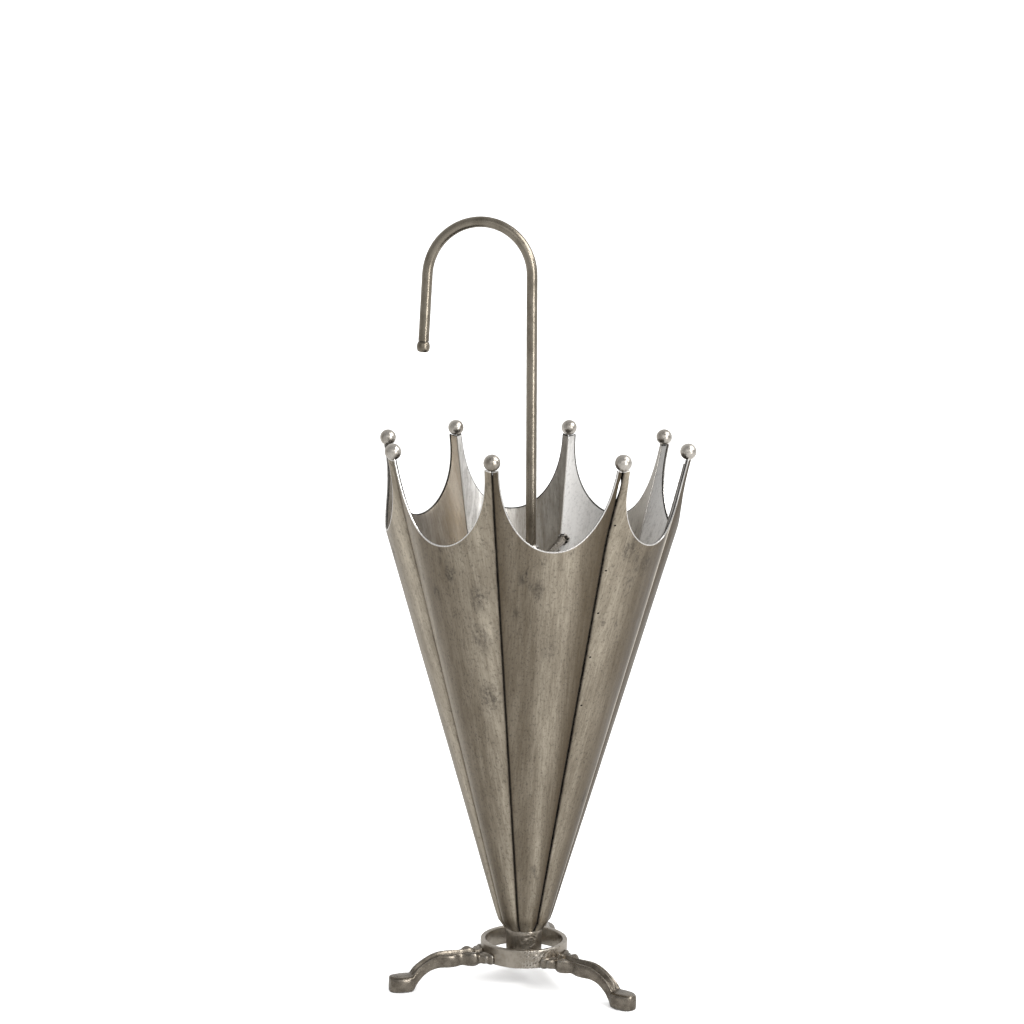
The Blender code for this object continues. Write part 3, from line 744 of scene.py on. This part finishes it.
def panel_grid(k):
    """For each column of panel k: (across, z) up to the rim, (across, z, share of the wall)
    round the rim, and how far the fold turns in."""
    line = half_outline()
    left = panel_columns(line, -1.0, side_fold(k, -1.0))
    right = panel_columns(line, 1.0, side_fold(k, 1.0))
    grid = []
    for share, place, out, distance, side, fold in list(reversed(left[1:])) + right:
        top = place - RIM_ROUND * out
        half_top = section(top.y, 0.0)[2]
        column = []
        for j in range(ROWS + 1):
            w = j / ROWS
            w += 0.25 * sin(pi * w) * (1.0 - w)    # the rows lie closer towards the rim
            z = LIP_Z + (top.y - LIP_Z) * w
            half = section(z, 0.0)[2]
            if distance is None:
                at_top = top.x / (half_top - fold)
                across = (share + (at_top - share) * w ** 3) * (half - fold) / half
            else:
                across = 1.0 - distance / half
            column.append((side * across, z))
        rim = []
        for depth, retreat in RIM_PROFILE:
            edge = place - retreat * MM * out
            half = section(edge.y, 0.0)[2]
            across = edge.x / half if distance is None else 1.0 - distance / half
            rim.append((side * across, edge.y, depth))
        depth = 0.0 if distance is None else fold * fold_depth(distance / fold)
        grid.append((column, rim, depth))
    return grid


def opened(across, z, half, side):
    """across, pulled back from the seam where that rib's seam stands open."""
    if across * side <= 0:
        return across
    low, high = OPEN_Z
    share = (z - low) / (high - low)
    if not 0.0 < share < 1.0:
        return across
    gape = smoothstep(share, 0.0, 0.55) * smoothstep(share, 1.0, 0.93)
    return across * (1.0 - OPEN_HALF * gape / half * abs(across) ** 10)


def build_panel(k, mat):
    """Panel k as one closed shell, with what the material needs stored on its vertices."""
    turn = spin(HALF_PANEL + (k - 1) * 2 * HALF_PANEL)
    side = {OPEN_RIB - 1: 1.0, OPEN_RIB: -1.0}.get(k, 0.0)
    grid = panel_grid(k)
    marks = [mark for mark in MARKS if mark[0] == k]
    bm = bmesh.new()
    stored = {key: [] for key in ("lay", "edge", "rim", "seam_shade_and_dirt", "mark", "tone")}

    def vertex(across, z, inset, top, inside, rim):
        half = section(z, 0.0)[2]
        across = opened(across, z, half, side)
        point = panel_point(across, z, inset)
        out = Vector((point.x, point.y, 0.0)).normalized()
        where = Vector((point.x, (z - LIP_Z) * LAY_STRETCH, PANEL_STEP * k))
        wave = sum(
            share * noise.noise(Vector((where.x * wide, where.y * tall, seed * k)))
            for share, wide, tall, seed in WAVES
        )
        calm = smoothstep(1.0 - abs(across), 0.0, CALM_EDGE)
        calm *= smoothstep(z, LIP_Z, LIP_Z + CALM_LIP)
        point += out * WOBBLE * wave * calm
        away = (1.0 - abs(across)) * half
        # dirt and painted shade along the seams, outside only, as dark as each rib is given
        seam_shade_and_dirt = SEAM_SHADE_AND_DIRT[k - 1] if across < 0.0 else SEAM_SHADE_AND_DIRT[k % PANELS]
        seam_shade_and_dirt *= (1.0 - inside) * (1.0 - rim) * smoothstep(away, DARK_REACH, DARK_FULL)
        darkest = 0.0
        for _, sideways, height, radius, strength in marks:    # taller than wide, and soft
            off = Vector((point.x - sideways * MM, (z - height * MM) * 0.7)).length / (radius * MM)
            darkest = max(darkest, strength * smoothstep(off, 1.5, 0.2))
        # painted light and shade: the lining's shading inside, the panel's shading across it outside
        tone = LINING_SHADING[k - 1] if inside == 1.0 else panel_shading_at(k, across)
        values = (where, (across, top - z, inside), rim, seam_shade_and_dirt, darkest * (1.0 - inside), tone)
        for layer, value in zip(stored.values(), values):
            layer.append(value)
        return bm.verts.new(bent(turn @ point))

    outer, inner, rims = [], [], []
    for column, rim, fold in grid:
        top = rim[3][1]
        outer.append([vertex(a, z, fold, top, 0.0, 0.0) for a, z in column])
        rims.append([
            vertex(a, z, fold + (WALL - fold) * depth, top, depth, 1.0) for a, z, depth in rim
        ])
        inner.append([vertex(a, z, WALL, top, 1.0, 0.0) for a, z in column])
    for i in range(len(grid) - 1):
        for sheet in (outer, inner):
            for j in range(ROWS):
                bm.faces.new((sheet[i][j], sheet[i + 1][j], sheet[i + 1][j + 1], sheet[i][j + 1]))
        here = [outer[i][-1], *rims[i], inner[i][-1]]
        there = [outer[i + 1][-1], *rims[i + 1], inner[i + 1][-1]]
        for a, b, c, d in zip(here, there, there[1:], here[1:]):
            bm.faces.new((a, b, c, d))
        bm.faces.new((outer[i][0], inner[i][0], inner[i + 1][0], outer[i + 1][0]))
    for i in (0, -1):
        for j in range(ROWS):
            bm.faces.new((outer[i][j], outer[i][j + 1], inner[i][j + 1], inner[i][j]))
        bm.faces.new([outer[i][-1], *rims[i], inner[i][-1]])
    name = f"canopy_panel_{k}"
    mesh = mesh_from(name, bm, 50.0)
    for key, values in stored.items():
        set_attribute(mesh, key, values)
    add_piece(name, mesh, mat, [f"panel_{k}"])


def build_seams(mat):
    """A weld run in the bottom of each seam. It stands proud inside, along the rib. Its outer side,
    near black, stands for painted shade at the seam's bottom; its inner side is painted bright as a
    highlight.
    """
    for k in range(PANELS):
        top = OPEN_Z[0] - 1.0 * MM if k + 1 == OPEN_RIB else PRONG_Z - 6.0 * MM
        low = LIP_Z + 3.0 * MM
        steps, sides = 260, 10
        rings = []
        for i in range(steps + 1):
            z = low + (top - low) * i / steps
            outside = rib_radius(z) - FOLD * 1.05
            inside = section(z, WALL)[2] / sin(HALF_PANEL) - WELD_PROUD
            ripple = noise.noise(Vector((z * 400.0, k * 5.7, 0.0)))
            half = WELD_HALF + 0.12 * MM * ripple
            inside -= 0.2 * MM * ripple
            outside += 0.15 * MM * noise.noise(Vector((z * 300.0, k * 5.7, 4.0)))
            middle = (outside + inside) / 2
            reach = (outside - inside) / 2
            ring = []
            for s in range(sides):
                a = 2 * pi * s / sides
                ring.append(Vector((half * sin(a), -(middle + reach * cos(a)), z)))
            rings.append(ring)
        bm = bmesh.new()
        skin(bm, rings)
        turn = spin(k * 2 * HALF_PANEL)
        for vert in bm.verts:
            vert.co = bent(turn @ vert.co)
        mesh = mesh_from(f"seam_weld_{k + 1}", bm, 60.0)
        # painted highlight: the weld's inner side, along the ridge inside the canopy, is drawn bright
        round_it = [cos(2 * pi * (i % sides) / sides) for i in range(len(mesh.vertices))]
        set_attribute(mesh, "wear_and_highlight", [smoothstep(place, 0.3, -0.3) for place in round_it])
        add_piece(f"seam_weld_{k + 1}", mesh, mat, [])


def build_balls(mat):
    for k in range(PANELS):
        angle = k * 2 * HALF_PANEL
        bm = bmesh.new()
        bmesh.ops.create_icosphere(bm, subdivisions=5, radius=BALL_RADIUS)
        mesh = mesh_from(f"ball_{k + 1}", bm, 80.0)
        roughen(mesh, 0.16 * MM, 3.5 * MM, 3.7 * k, inward=True)
        place = bent(BALL_RING * outward(angle) + Vector((0.0, 0.0, BALL_Z)))
        mesh.transform(Matrix.Translation(place))
        add_piece(f"ball_{k + 1}", mesh, mat, [f"finial_{k + 1}"])


# ---- handle

def crook_path():
    """The handle's middle line, from the shaft's foot to the end knob."""
    foot = Vector((0.0, 0.0, SHAFT_FOOT_Z))
    path = []
    straight = round((CROOK_START_Z - SHAFT_FOOT_Z) / (3 * MM))
    for i in range(straight + 1):
        z = SHAFT_FOOT_Z + (CROOK_START_Z - SHAFT_FOOT_Z) * i / straight
        path.append(Vector((0.0, 0.0, z)))
    so_far = 0.0
    for radius, turn in zip(CROOK_RADII, CROOK_TURNS):
        centre = path[-1] - radius * Vector((cos(so_far), 0.0, sin(so_far)))
        steps = round(turn / radians(2.5))
        for i in range(1, steps + 1):
            angle = so_far + turn * i / steps
            path.append(centre + radius * Vector((cos(angle), 0.0, sin(angle))))
        so_far += turn
    end = path[-1]
    way = Vector((-sin(so_far), 0.0, cos(so_far)))
    steps = round(CROOK_LEG / (3 * MM))
    path += [end + way * CROOK_LEG * i / steps for i in range(1, steps + 1)]
    lean = Matrix.Rotation(-HANDLE_LEAN, 3, "Y")
    return [foot + lean @ (place - foot) for place in path]


def tube(path, radius, sides):
    """A round bar along a path in the XZ plane."""
    rings = []
    across = Vector((0.0, 1.0, 0.0))
    for i, place in enumerate(path):
        before, after = path[max(0, i - 1)], path[min(len(path) - 1, i + 1)]
        up = (after - before).normalized().cross(across)
        rings.append([
            place + radius * (cos(2 * pi * s / sides) * up + sin(2 * pi * s / sides) * across)
            for s in range(sides)
        ])
    bm = bmesh.new()
    skin(bm, rings)
    return bm


def lathe(profile, sides, closed, turn=None):
    bm = bmesh.new()
    skin(bm, [circle(max(place.x, 0.01 * MM), place.y, sides) for place in profile], closed=closed)
    if turn is not None:
        bmesh.ops.transform(bm, matrix=turn, verts=bm.verts[:])
    return bm


def turned(profile, corner, longest, sides, closed=True, turn=None):
    """A lathed body with its corners rounded and no step along its profile over longest."""
    return lathe(subdivided(rounded(profile, corner, closed), closed, longest), sides, closed, turn)


def build_handle(mat, weld_mat):
    path = crook_path()
    rod = tube(path, ROD_RADIUS, 36)
    rough = (0.14 * MM, 9 * MM, 2.0)
    add_worked("crook_rod", rod, mat, "crook_handle", rough)

    half = KNOB_HEIGHT / 2
    profile = [(KNOB_RADIUS * r, half * z) for r, z in KNOB_PROFILE]
    way = (path[-1] - path[-2]).normalized()
    place = Matrix.Translation(path[-1] + way * (half + GAP))
    turn = place @ (-way).to_track_quat("Z", "Y").to_matrix().to_4x4()
    knob = turned(profile, 1.2 * MM, 0.5 * MM, 40, closed=False, turn=turn)
    rough = (0.1 * MM, 3 * MM, 5.0)
    add_worked("crook_end_knob", knob, mat, "crook_knob", rough)

    low, high = weld_box[0].z, weld_box[1].z
    outside = weld_box[1].x
    hole = ROD_RADIUS - 0.3 * MM
    line = [(hole, low), (outside * 0.94, low), (outside * 0.98, low + 1.2 * MM)]
    line += [(outside * 0.86, low + 2.6 * MM), (hole + 0.9 * MM, high), (hole, high)]
    collar = turned(line, 0.9 * MM, 0.6 * MM, 72)
    rough = (1.1 * MM, 2.4 * MM, 9.0)
    add_worked("shaft_foot_weld", collar, weld_mat, "shaft_weld", rough, (0.0, 0.12))


def bar_reach(side):
    """Distance along the bar from the axis to its back (1) or front (-1) end, short of the rib."""
    out = 0.0
    for _ in range(12):
        low = BAR_Z + side * out * tan(BAR_TILT) - BAR_RADIUS
        ridge = section(low, WALL)[2] / sin(HALF_PANEL)
        out = ridge - GAP - BAR_RADIUS * sin(BAR_TILT)
    return out / cos(BAR_TILT)


def build_bar(mat, weld_mat):
    back, front = -bar_reach(1), bar_reach(-1)
    turn = Matrix.Translation((0.0, 0.0, BAR_Z)) @ Matrix.Rotation(BAR_TURN, 4, "Z")
    turn = turn @ Matrix.Rotation(pi / 2 + BAR_TILT, 4, "X")
    line = [(0.0, back), (BAR_RADIUS, back), (BAR_RADIUS, front), (0.0, front)]
    bar = turned(line, 0.5 * MM, 2.5 * MM, 32, closed=False, turn=turn)
    rough = (0.3 * MM, 7 * MM, 1.0)
    add_worked("inner_cross_bar", bar, mat, "cross_bar", rough, (0.02, 0.2))
    for name, end in (("bar_weld_back", back), ("bar_weld_front", front)):
        bm = bmesh.new()
        bmesh.ops.create_icosphere(bm, subdivisions=4, radius=1.0)
        bmesh.ops.scale(bm, vec=WELD_BLOB, verts=bm.verts[:])
        mesh = mesh_from(name, bm, 60.0)
        roughen(mesh, 1.8 * MM, 3.4 * MM, 11.0 + 40.0 * end)
        middle = end - 0.4 * MM * (1 if end > 0 else -1)
        mesh.transform(turn @ Matrix.Translation((0.0, 0.0, middle)))
        edge_wear_and_hollow_shade(mesh, 0.0, 0.2)
        add_piece(name, mesh, weld_mat, [])

    low = BAR_Z + BAR_RADIUS / cos(BAR_TILT)
    high = socket_box[1].z
    rings = []
    for z, grow in ((low, -0.3), (low + 0.6 * MM, 0.0), (high - 1.0 * MM, 0.0), (high, -0.7)):
        ring = circle(SOCKET_RADIUS + grow * MM, z, 48)
        if z < low + 1.0 * MM:
            for place in ring:
                place.z += place.y * tan(BAR_TILT)
        rings.append(ring)
    bm = bmesh.new()
    skin(bm, rings)
    add_worked("shaft_stub", bm, mat, "shaft_socket", wear_and_shade=(0.02, 0.2))


# ---- base

def build_neck(mat):
    low, top = neck_box[0].z, neck_box[1].z
    line = [
        (NECK_RADIUS, low), (NECK_RADIUS, NECK_SHOULDER_Z), (SPIGOT_RADIUS, NECK_SHOULDER_Z),
        (SPIGOT_RADIUS, top), (BOLT_BORE, top), (BOLT_BORE, low),
    ]
    neck = turned(line, 1.3 * MM, 0.8 * MM, 128)

    def depth(place):
        """Deepest on the rough side; the bolt's bore and the spigot stay plain."""
        out = Vector((place.x, place.y, 0.0))
        if out.length < SPIGOT_RADIUS or place.z > NECK_SHOULDER_Z - 0.5 * MM:
            return 0.05 * MM
        rough_side = smoothstep(out.normalized().dot(outward(NECK_ROUGH_SIDE)), 0.7, 1.0)
        return (0.1 + 0.7 * rough_side) * MM

    rough = (depth, 3.6 * MM, 4.0)
    add_worked("neck_casting", neck, mat, "neck_sleeve", rough, (0.06, 0.4))


def build_ring(mat):
    low, high = ring_box[0].z, ring_box[1].z
    inside = RING_RADIUS - RING_WALL
    line = [(RING_RADIUS, low), (RING_RADIUS, high), (inside, high), (inside, low)]
    ring = turned(line, 1.5 * MM, 0.9 * MM, 320)

    def depth(place):
        """Hammered on the front right, plain elsewhere."""
        near = Vector((place.x, place.y, 0.0)).normalized().dot(outward(RING_ROUGH_SIDE))
        return (0.08 + 0.75 * smoothstep(near, cos(radians(34)), cos(radians(16)))) * MM

    rough = (depth, 3.0 * MM, 6.0)
    add_worked("ring_casting", ring, mat, "base_ring", rough, (0.04, 0.3))


def build_spider(mat):
    reach = RING_RADIUS - RING_WALL
    outline = []
    for arm in sorted(LEG_ANGLES.values()):
        middle = radians(arm)
        way = outward(middle)
        cross = outward(middle + pi / 2)
        start = sqrt(SPIDER_HUB ** 2 - SPIDER_ARM_HALF ** 2)
        outline += [way * r - cross * SPIDER_ARM_HALF for r in (start, reach * 0.8, reach)]
        outline += [way * r + cross * SPIDER_ARM_HALF for r in (reach, reach * 0.8, start)]
        outline += [SPIDER_HUB * outward(middle + radians(step)) for step in range(30, 100, 10)]
    low, high = spider_box[0].z, spider_box[1].z
    rings = []
    for shrink, z in ((0.5, low), (0.1, low + 0.4 * MM), (0.0, low + 1 * MM), (0.0, high - 1 * MM),
                      (0.1, high - 0.4 * MM), (0.5, high)):
        rings.append([Vector((*(p * (1 - shrink * MM / p.length)).xy, z)) for p in outline])
    for z in (high, low):
        rings.append([Vector((*(p.normalized() * BOLT_BORE).xy, z)) for p in outline])
    bm = bmesh.new()
    skin(bm, rings, closed=True)
    bmesh.ops.rotate(bm, verts=bm.verts[:], matrix=spin(BASE_TURN))
    add_worked("spider_casting", bm, mat, "spider_plate", wear_and_shade=(0.05, 0.4), sharp=40.0)


def ring_points(radius, z, limit=None):
    """Twenty-four points of a circle, or of the hexagon outside it with corners cut at limit."""
    points = []
    for i in range(24):
        angle = i * pi / 12
        reach = radius
        if limit is not None:
            off = (angle + pi / 6) % (pi / 3) - pi / 6
            reach = min(radius / cos(off), limit)
        points.append(Vector((reach * cos(angle), reach * sin(angle), z)))
    return points


def hexagon(z, shrink=0.0):
    """A ring for a spanner. shrink takes that much off its corners."""
    return ring_points(HEX_ACROSS_FLATS / 2, z, HEX_ACROSS_FLATS / 2 / cos(pi / 6) - shrink)


def build_fastening(mat):
    head_low, head_high = bolt_box[0].z, washer_box[0].z - GAP
    tip = bolt_box[1].z
    rings = [hexagon(head_low, 1.0 * MM), hexagon(head_low + 0.35 * MM, 0.3 * MM)]
    rings += [hexagon(head_low + CHAMFER), hexagon(head_high)]
    start = nut_box[0].z - 6 * MM
    rings += [ring_points(BOLT_RADIUS, head_high), ring_points(BOLT_RADIUS, start)]
    pitch = (tip - 1 * MM - start) / THREAD_TURNS
    for i in range(THREAD_TURNS):
        rings.append(ring_points(BOLT_RADIUS - 0.45 * MM, start + pitch * (i + 0.5)))
        rings.append(ring_points(BOLT_RADIUS, start + pitch * (i + 1)))
    rings.append(ring_points(BOLT_RADIUS - 0.8 * MM, tip))
    bolt = bmesh.new()
    skin(bolt, rings)

    low, high = washer_box[0].z, washer_box[1].z
    line = [(washer_box[1].x, low), (washer_box[1].x, high), (BOLT_BORE, high), (BOLT_BORE, low)]
    washer = lathe(rounded(line, 0.4 * MM, True, 2), 64, closed=True)

    low, high = nut_box[0].z, nut_box[1].z
    rings = [hexagon(low, 1.0 * MM), hexagon(low + CHAMFER)]
    rings += [hexagon(high - CHAMFER), hexagon(high, 1.0 * MM)]
    rings += [ring_points(BOLT_BORE, high), ring_points(BOLT_BORE, low)]
    nut = bmesh.new()
    skin(nut, rings, closed=True)

    wear_and_shade = (0.05, 0.4)
    add_worked("tie_bolt_threaded", bolt, mat, "tie_bolt", wear_and_shade=wear_and_shade, sharp=30.0)
    add_worked("plain_washer", washer, mat, "bolt_washer", wear_and_shade=wear_and_shade)
    add_worked("plain_nut", nut, mat, "tie_nut", wear_and_shade=wear_and_shade, sharp=30.0)


# (distance from the axis, half width, top z of the side edges, underside z), in mm
LEG_STATIONS = (
    (42.8, 20.6, 32.4, 23.0), (44.0, 21.0, 32.8, 22.6), (45.3, 20.6, 32.4, 22.8),
    (46.2, 18.2, 31.2, 23.6), (47.2, 18.4, 31.6, 23.4), (48.6, 18.0, 31.4, 23.2),
    (50.0, 13.2, 31.0, 23.0), (51.6, 12.6, 32.0, 22.0), (54.0, 14.0, 33.4, 21.0),
    (57.0, 14.0, 33.6, 20.6), (60.0, 12.2, 33.2, 20.6), (63.0, 8.8, 32.6, 20.8),
    (65.6, 7.7, 32.6, 21.4), (69.0, 8.0, 32.9, 20.6), (73.0, 9.6, 33.0, 20.5),
    (78.0, 10.1, 33.0, 20.5), (82.5, 9.4, 33.0, 20.5), (86.0, 8.2, 32.8, 20.5),
    (91.0, 7.3, 31.9, 20.2), (96.0, 7.1, 30.0, 18.9), (101.0, 6.9, 27.5, 16.3),
    (105.0, 6.8, 25.1, 13.0), (108.6, 6.8, 22.5, 9.2), (111.6, 7.1, 19.6, 5.4),
    (113.6, 7.7, 17.0, 2.2),
)
# the foot block beyond the leg: distance from the axis and half width, in mm
FOOT_STATIONS = (
    (115.2, 8.9), (117.0, 9.9), (120.0, 10.5), (124.0, 10.6), (127.5, 10.3), (130.6, 9.5),
    (133.2, 8.2), (135.2, 6.5), (136.5, 4.3), (137.0, 2.4),
)


def leg_sides(half, strap, lift):
    """(sideways, rise) across the top from the left edge to the middle ridge."""
    shoulder = (half + strap) / 2
    return [
        (-half, -LEG_ROUNDING), (0.3 * LEG_ROUNDING - half, lift - 0.3 * LEG_ROUNDING),
        (-shoulder, lift - 0.05 * LEG_ROUNDING), (-strap, 0.15 * MM),
        (-strap * 0.72, -0.1 * MM), (-strap * 0.5, -GROOVE_DEPTH), (-strap * 0.24, 0.1 * MM),
        (-0.6 * MM, CREST), (0.0, CREST + 0.1 * MM),
    ]


def foot_sides(half, rounding, dome):
    """(sideways, rise) across a foot's top from its left edge to the middle, softly domed."""
    side = [(-half, -rounding), (-half + 0.3 * rounding, -0.3 * rounding)]
    for i in range(7):
        place = (half - rounding) * (1.0 - i / 6)
        side.append((-place, dome * (1.0 - (place / half) ** 2)))
    return side


def leg_rows():
    """Sections along a leg: reach, half the top's outline, its height, underside, lower rounding."""
    rows = []
    for reach, half, top, under in LEG_STATIONS:
        half = half * MM
        strap = min(0.86 * LEG_HALF, half - 1.0 * MM)
        lift = LOBE_LIFT * smoothstep(half, LEG_HALF * 1.3, LEG_HALF * 1.9)
        rows.append((reach * MM, leg_sides(half, strap, lift), top * MM, under * MM, 1.4 * MM))
    for reach, half in FOOT_STATIONS:
        half = half * MM
        side = foot_sides(half, min(2.8 * MM, half * 0.6), 0.8 * MM)
        rows.append((reach * MM, side, FOOT_HEIGHT, 0.0, 1.8 * MM))
    return rows


def build_legs(mat):
    root = RING_RADIUS + GAP
    for name, angle in LEG_ANGLES.items():
        bm = bmesh.new()
        rows = []
        for reach, side, top, under, soft in leg_rows():
            hug = max(0.0, 1.0 - (reach - root) / HUG_LENGTH)
            mirrored = side + [(-y, rise) for y, rise in reversed(side[:-1])]
            loop = [(y, top + rise) for y, rise in mirrored]
            left, drop = side[0]
            waist = (top + drop + under + soft) / 2
            loop += [(-left, waist), (-left, under + soft)]
            loop += [(place * left, under) for place in (-0.9, -0.45, 0.0, 0.45, 0.9)]
            loop += [(left, under + soft), (left, waist)]
            points = []
            for y, z in loop:
                bend = root - sqrt(max(0.0, root ** 2 - y ** 2))
                points.append(Vector((y, -(reach - hug * bend), z)))
            rows.append(points)
        skin(bm, rows)
        bmesh.ops.rotate(bm, verts=bm.verts[:], matrix=spin(radians(angle) + BASE_TURN))
        mesh = subsurfed(mesh_from(name + "_cage", bm), 2)
        mesh.name = name + "_casting"
        mesh.shade_smooth()
        roughen(mesh, 0.13 * MM, 6.0 * MM, angle, floor=0.0)
        edge_wear_and_hollow_shade(mesh, 0.02, 0.2)
        add_piece(name + "_casting", mesh, mat, [name])


# ---- stage

STUDIO_LIGHTS = (  # name, azimuth and elevation in degrees, distance, size, power
    ("wide_front", 12, 24, 2.6, (4.0, 1.1), 10),
    ("key_right", 40, 12, 2.3, (0.45, 1.9), 24),
    ("floor_right", 80, 48, 1.5, (0.8, 0.8), 14),
)
AIM = Vector((0.0, 0.0, 0.36))
FLOOR_RADIUS = 14.0
FLOOR_SEEN = (0.97, 0.97, 0.97)
FLOOR_NEAR = (0.39, 0.39, 0.39)  # what reflections see of the floor, by the camera
FLOOR_FAR = (0.5, 0.5, 0.5)  # and behind the stand
ROOM_BEHIND = 0.42  # what reflections see of the room, behind the camera
ROOM_AHEAD = 0.8  # and behind the stand
CEILING_SHARE = 0.9
ROOM_LIGHT = 1.7


def add_area(name, azimuth, elevation, distance, size, power):
    """A soft box that faces the stand. azimuth is from the camera's side towards its right."""
    data = bpy.data.lights.new(name, "AREA")
    data.shape = "RECTANGLE"
    data.size, data.size_y = size
    data.energy = power
    obj = bpy.data.objects.new(name, data)
    bpy.context.scene.collection.objects.link(obj)
    level = outward(CAMERA_AZIMUTH + radians(azimuth))
    rise = radians(elevation)
    way = level * cos(rise) + Vector((0.0, 0.0, sin(rise)))
    obj.location = AIM + way * distance
    obj.rotation_mode = "QUATERNION"
    obj.rotation_quaternion = way.to_track_quat("Z", "Y")


def along_view(tree, kind):
    """How far a texture coordinate lies away from the camera's side, level with the floor."""
    place = add_node(tree, "ShaderNodeTexCoord").outputs[kind]
    way = add_node(tree, "ShaderNodeVectorMath", {"operation": "DOT_PRODUCT"}, i0=place)
    way.inputs[1].default_value = -outward(CAMERA_AZIMUTH)
    return way.outputs["Value"]


def add_floor():
    """A white floor. Reflections see it greyer, so that the metal keeps its tone."""
    bm = bmesh.new()
    bmesh.ops.create_circle(bm, cap_ends=True, segments=96, radius=FLOOR_RADIUS)
    mesh = mesh_from("studio_floor", bm)
    mat = bpy.data.materials.new("studio_floor")
    mat.use_nodes = True
    tree = mat.node_tree
    shader = tree.nodes["Principled BSDF"]
    seen = add_node(tree, "ShaderNodeLightPath").outputs["Is Camera Ray"]
    behind = ramp(tree, along_view(tree, "Object"), -0.25, 0.45)
    tone = mix_colour(tree, seen, mix_colour(tree, behind, FLOOR_NEAR, FLOOR_FAR), FLOOR_SEEN)
    tree.links.new(tone, shader.inputs["Base Color"])
    shader.inputs["Roughness"].default_value = 0.9
    shader.inputs["Specular IOR Level"].default_value = 0.0
    mesh.materials.append(mat)
    obj = bpy.data.objects.new("studio_floor", mesh)
    obj.location.z = -0.2 * MM
    bpy.context.scene.collection.objects.link(obj)


def add_world():
    """White all round for the floor and the camera, and greyer for reflections."""
    world = bpy.data.worlds.new("studio")
    bpy.context.scene.world = world
    world.use_nodes = True
    tree = world.node_tree
    tree.nodes.clear()
    way = add_node(tree, "ShaderNodeTexCoord").outputs["Generated"]
    up = add_node(tree, "ShaderNodeSeparateXYZ", Vector=way).outputs[2]
    walls = ramp(tree, along_view(tree, "Generated"), -0.2, 0.7, ROOM_BEHIND, ROOM_AHEAD)
    room = times(tree, walls, ramp(tree, up, 0.15, 0.75, 1.0, CEILING_SHARE))
    glossy = add_node(tree, "ShaderNodeLightPath").outputs["Is Glossy Ray"]
    tone = mix_number(tree, glossy, ROOM_LIGHT, room)
    background = add_node(tree, "ShaderNodeBackground", Color=(1.0, 1.0, 1.0, 1.0), Strength=tone)
    output = add_node(tree, "ShaderNodeOutputWorld")
    tree.links.new(background.outputs[0], output.inputs[0])


def build_stage():
    bpy.context.scene.view_settings.view_transform = "Standard"
    add_floor()
    add_world()
    for light in STUDIO_LIGHTS:
        add_area(*light)


# ---- build

add_camera()
build_stage()
sheet = panel_material()
rod = rod_material("pewter_rod_skin", *ROD_TONES)
ball = rod_material("rubbed_pewter_ball", *BALL_TONES)
cast, pale_cast, weld, dark_weld, steel = [
    cast_material(name, *skin_look) for name, skin_look in CAST_SKINS.items()
]

for number in range(1, PANELS + 1):
    build_panel(number, sheet)
build_seams(dark_weld)
build_balls(ball)
build_handle(rod, weld)
build_bar(cast, dark_weld)
build_neck(pale_cast)
build_ring(pale_cast)
build_spider(cast)
build_fastening(steel)
build_legs(cast)
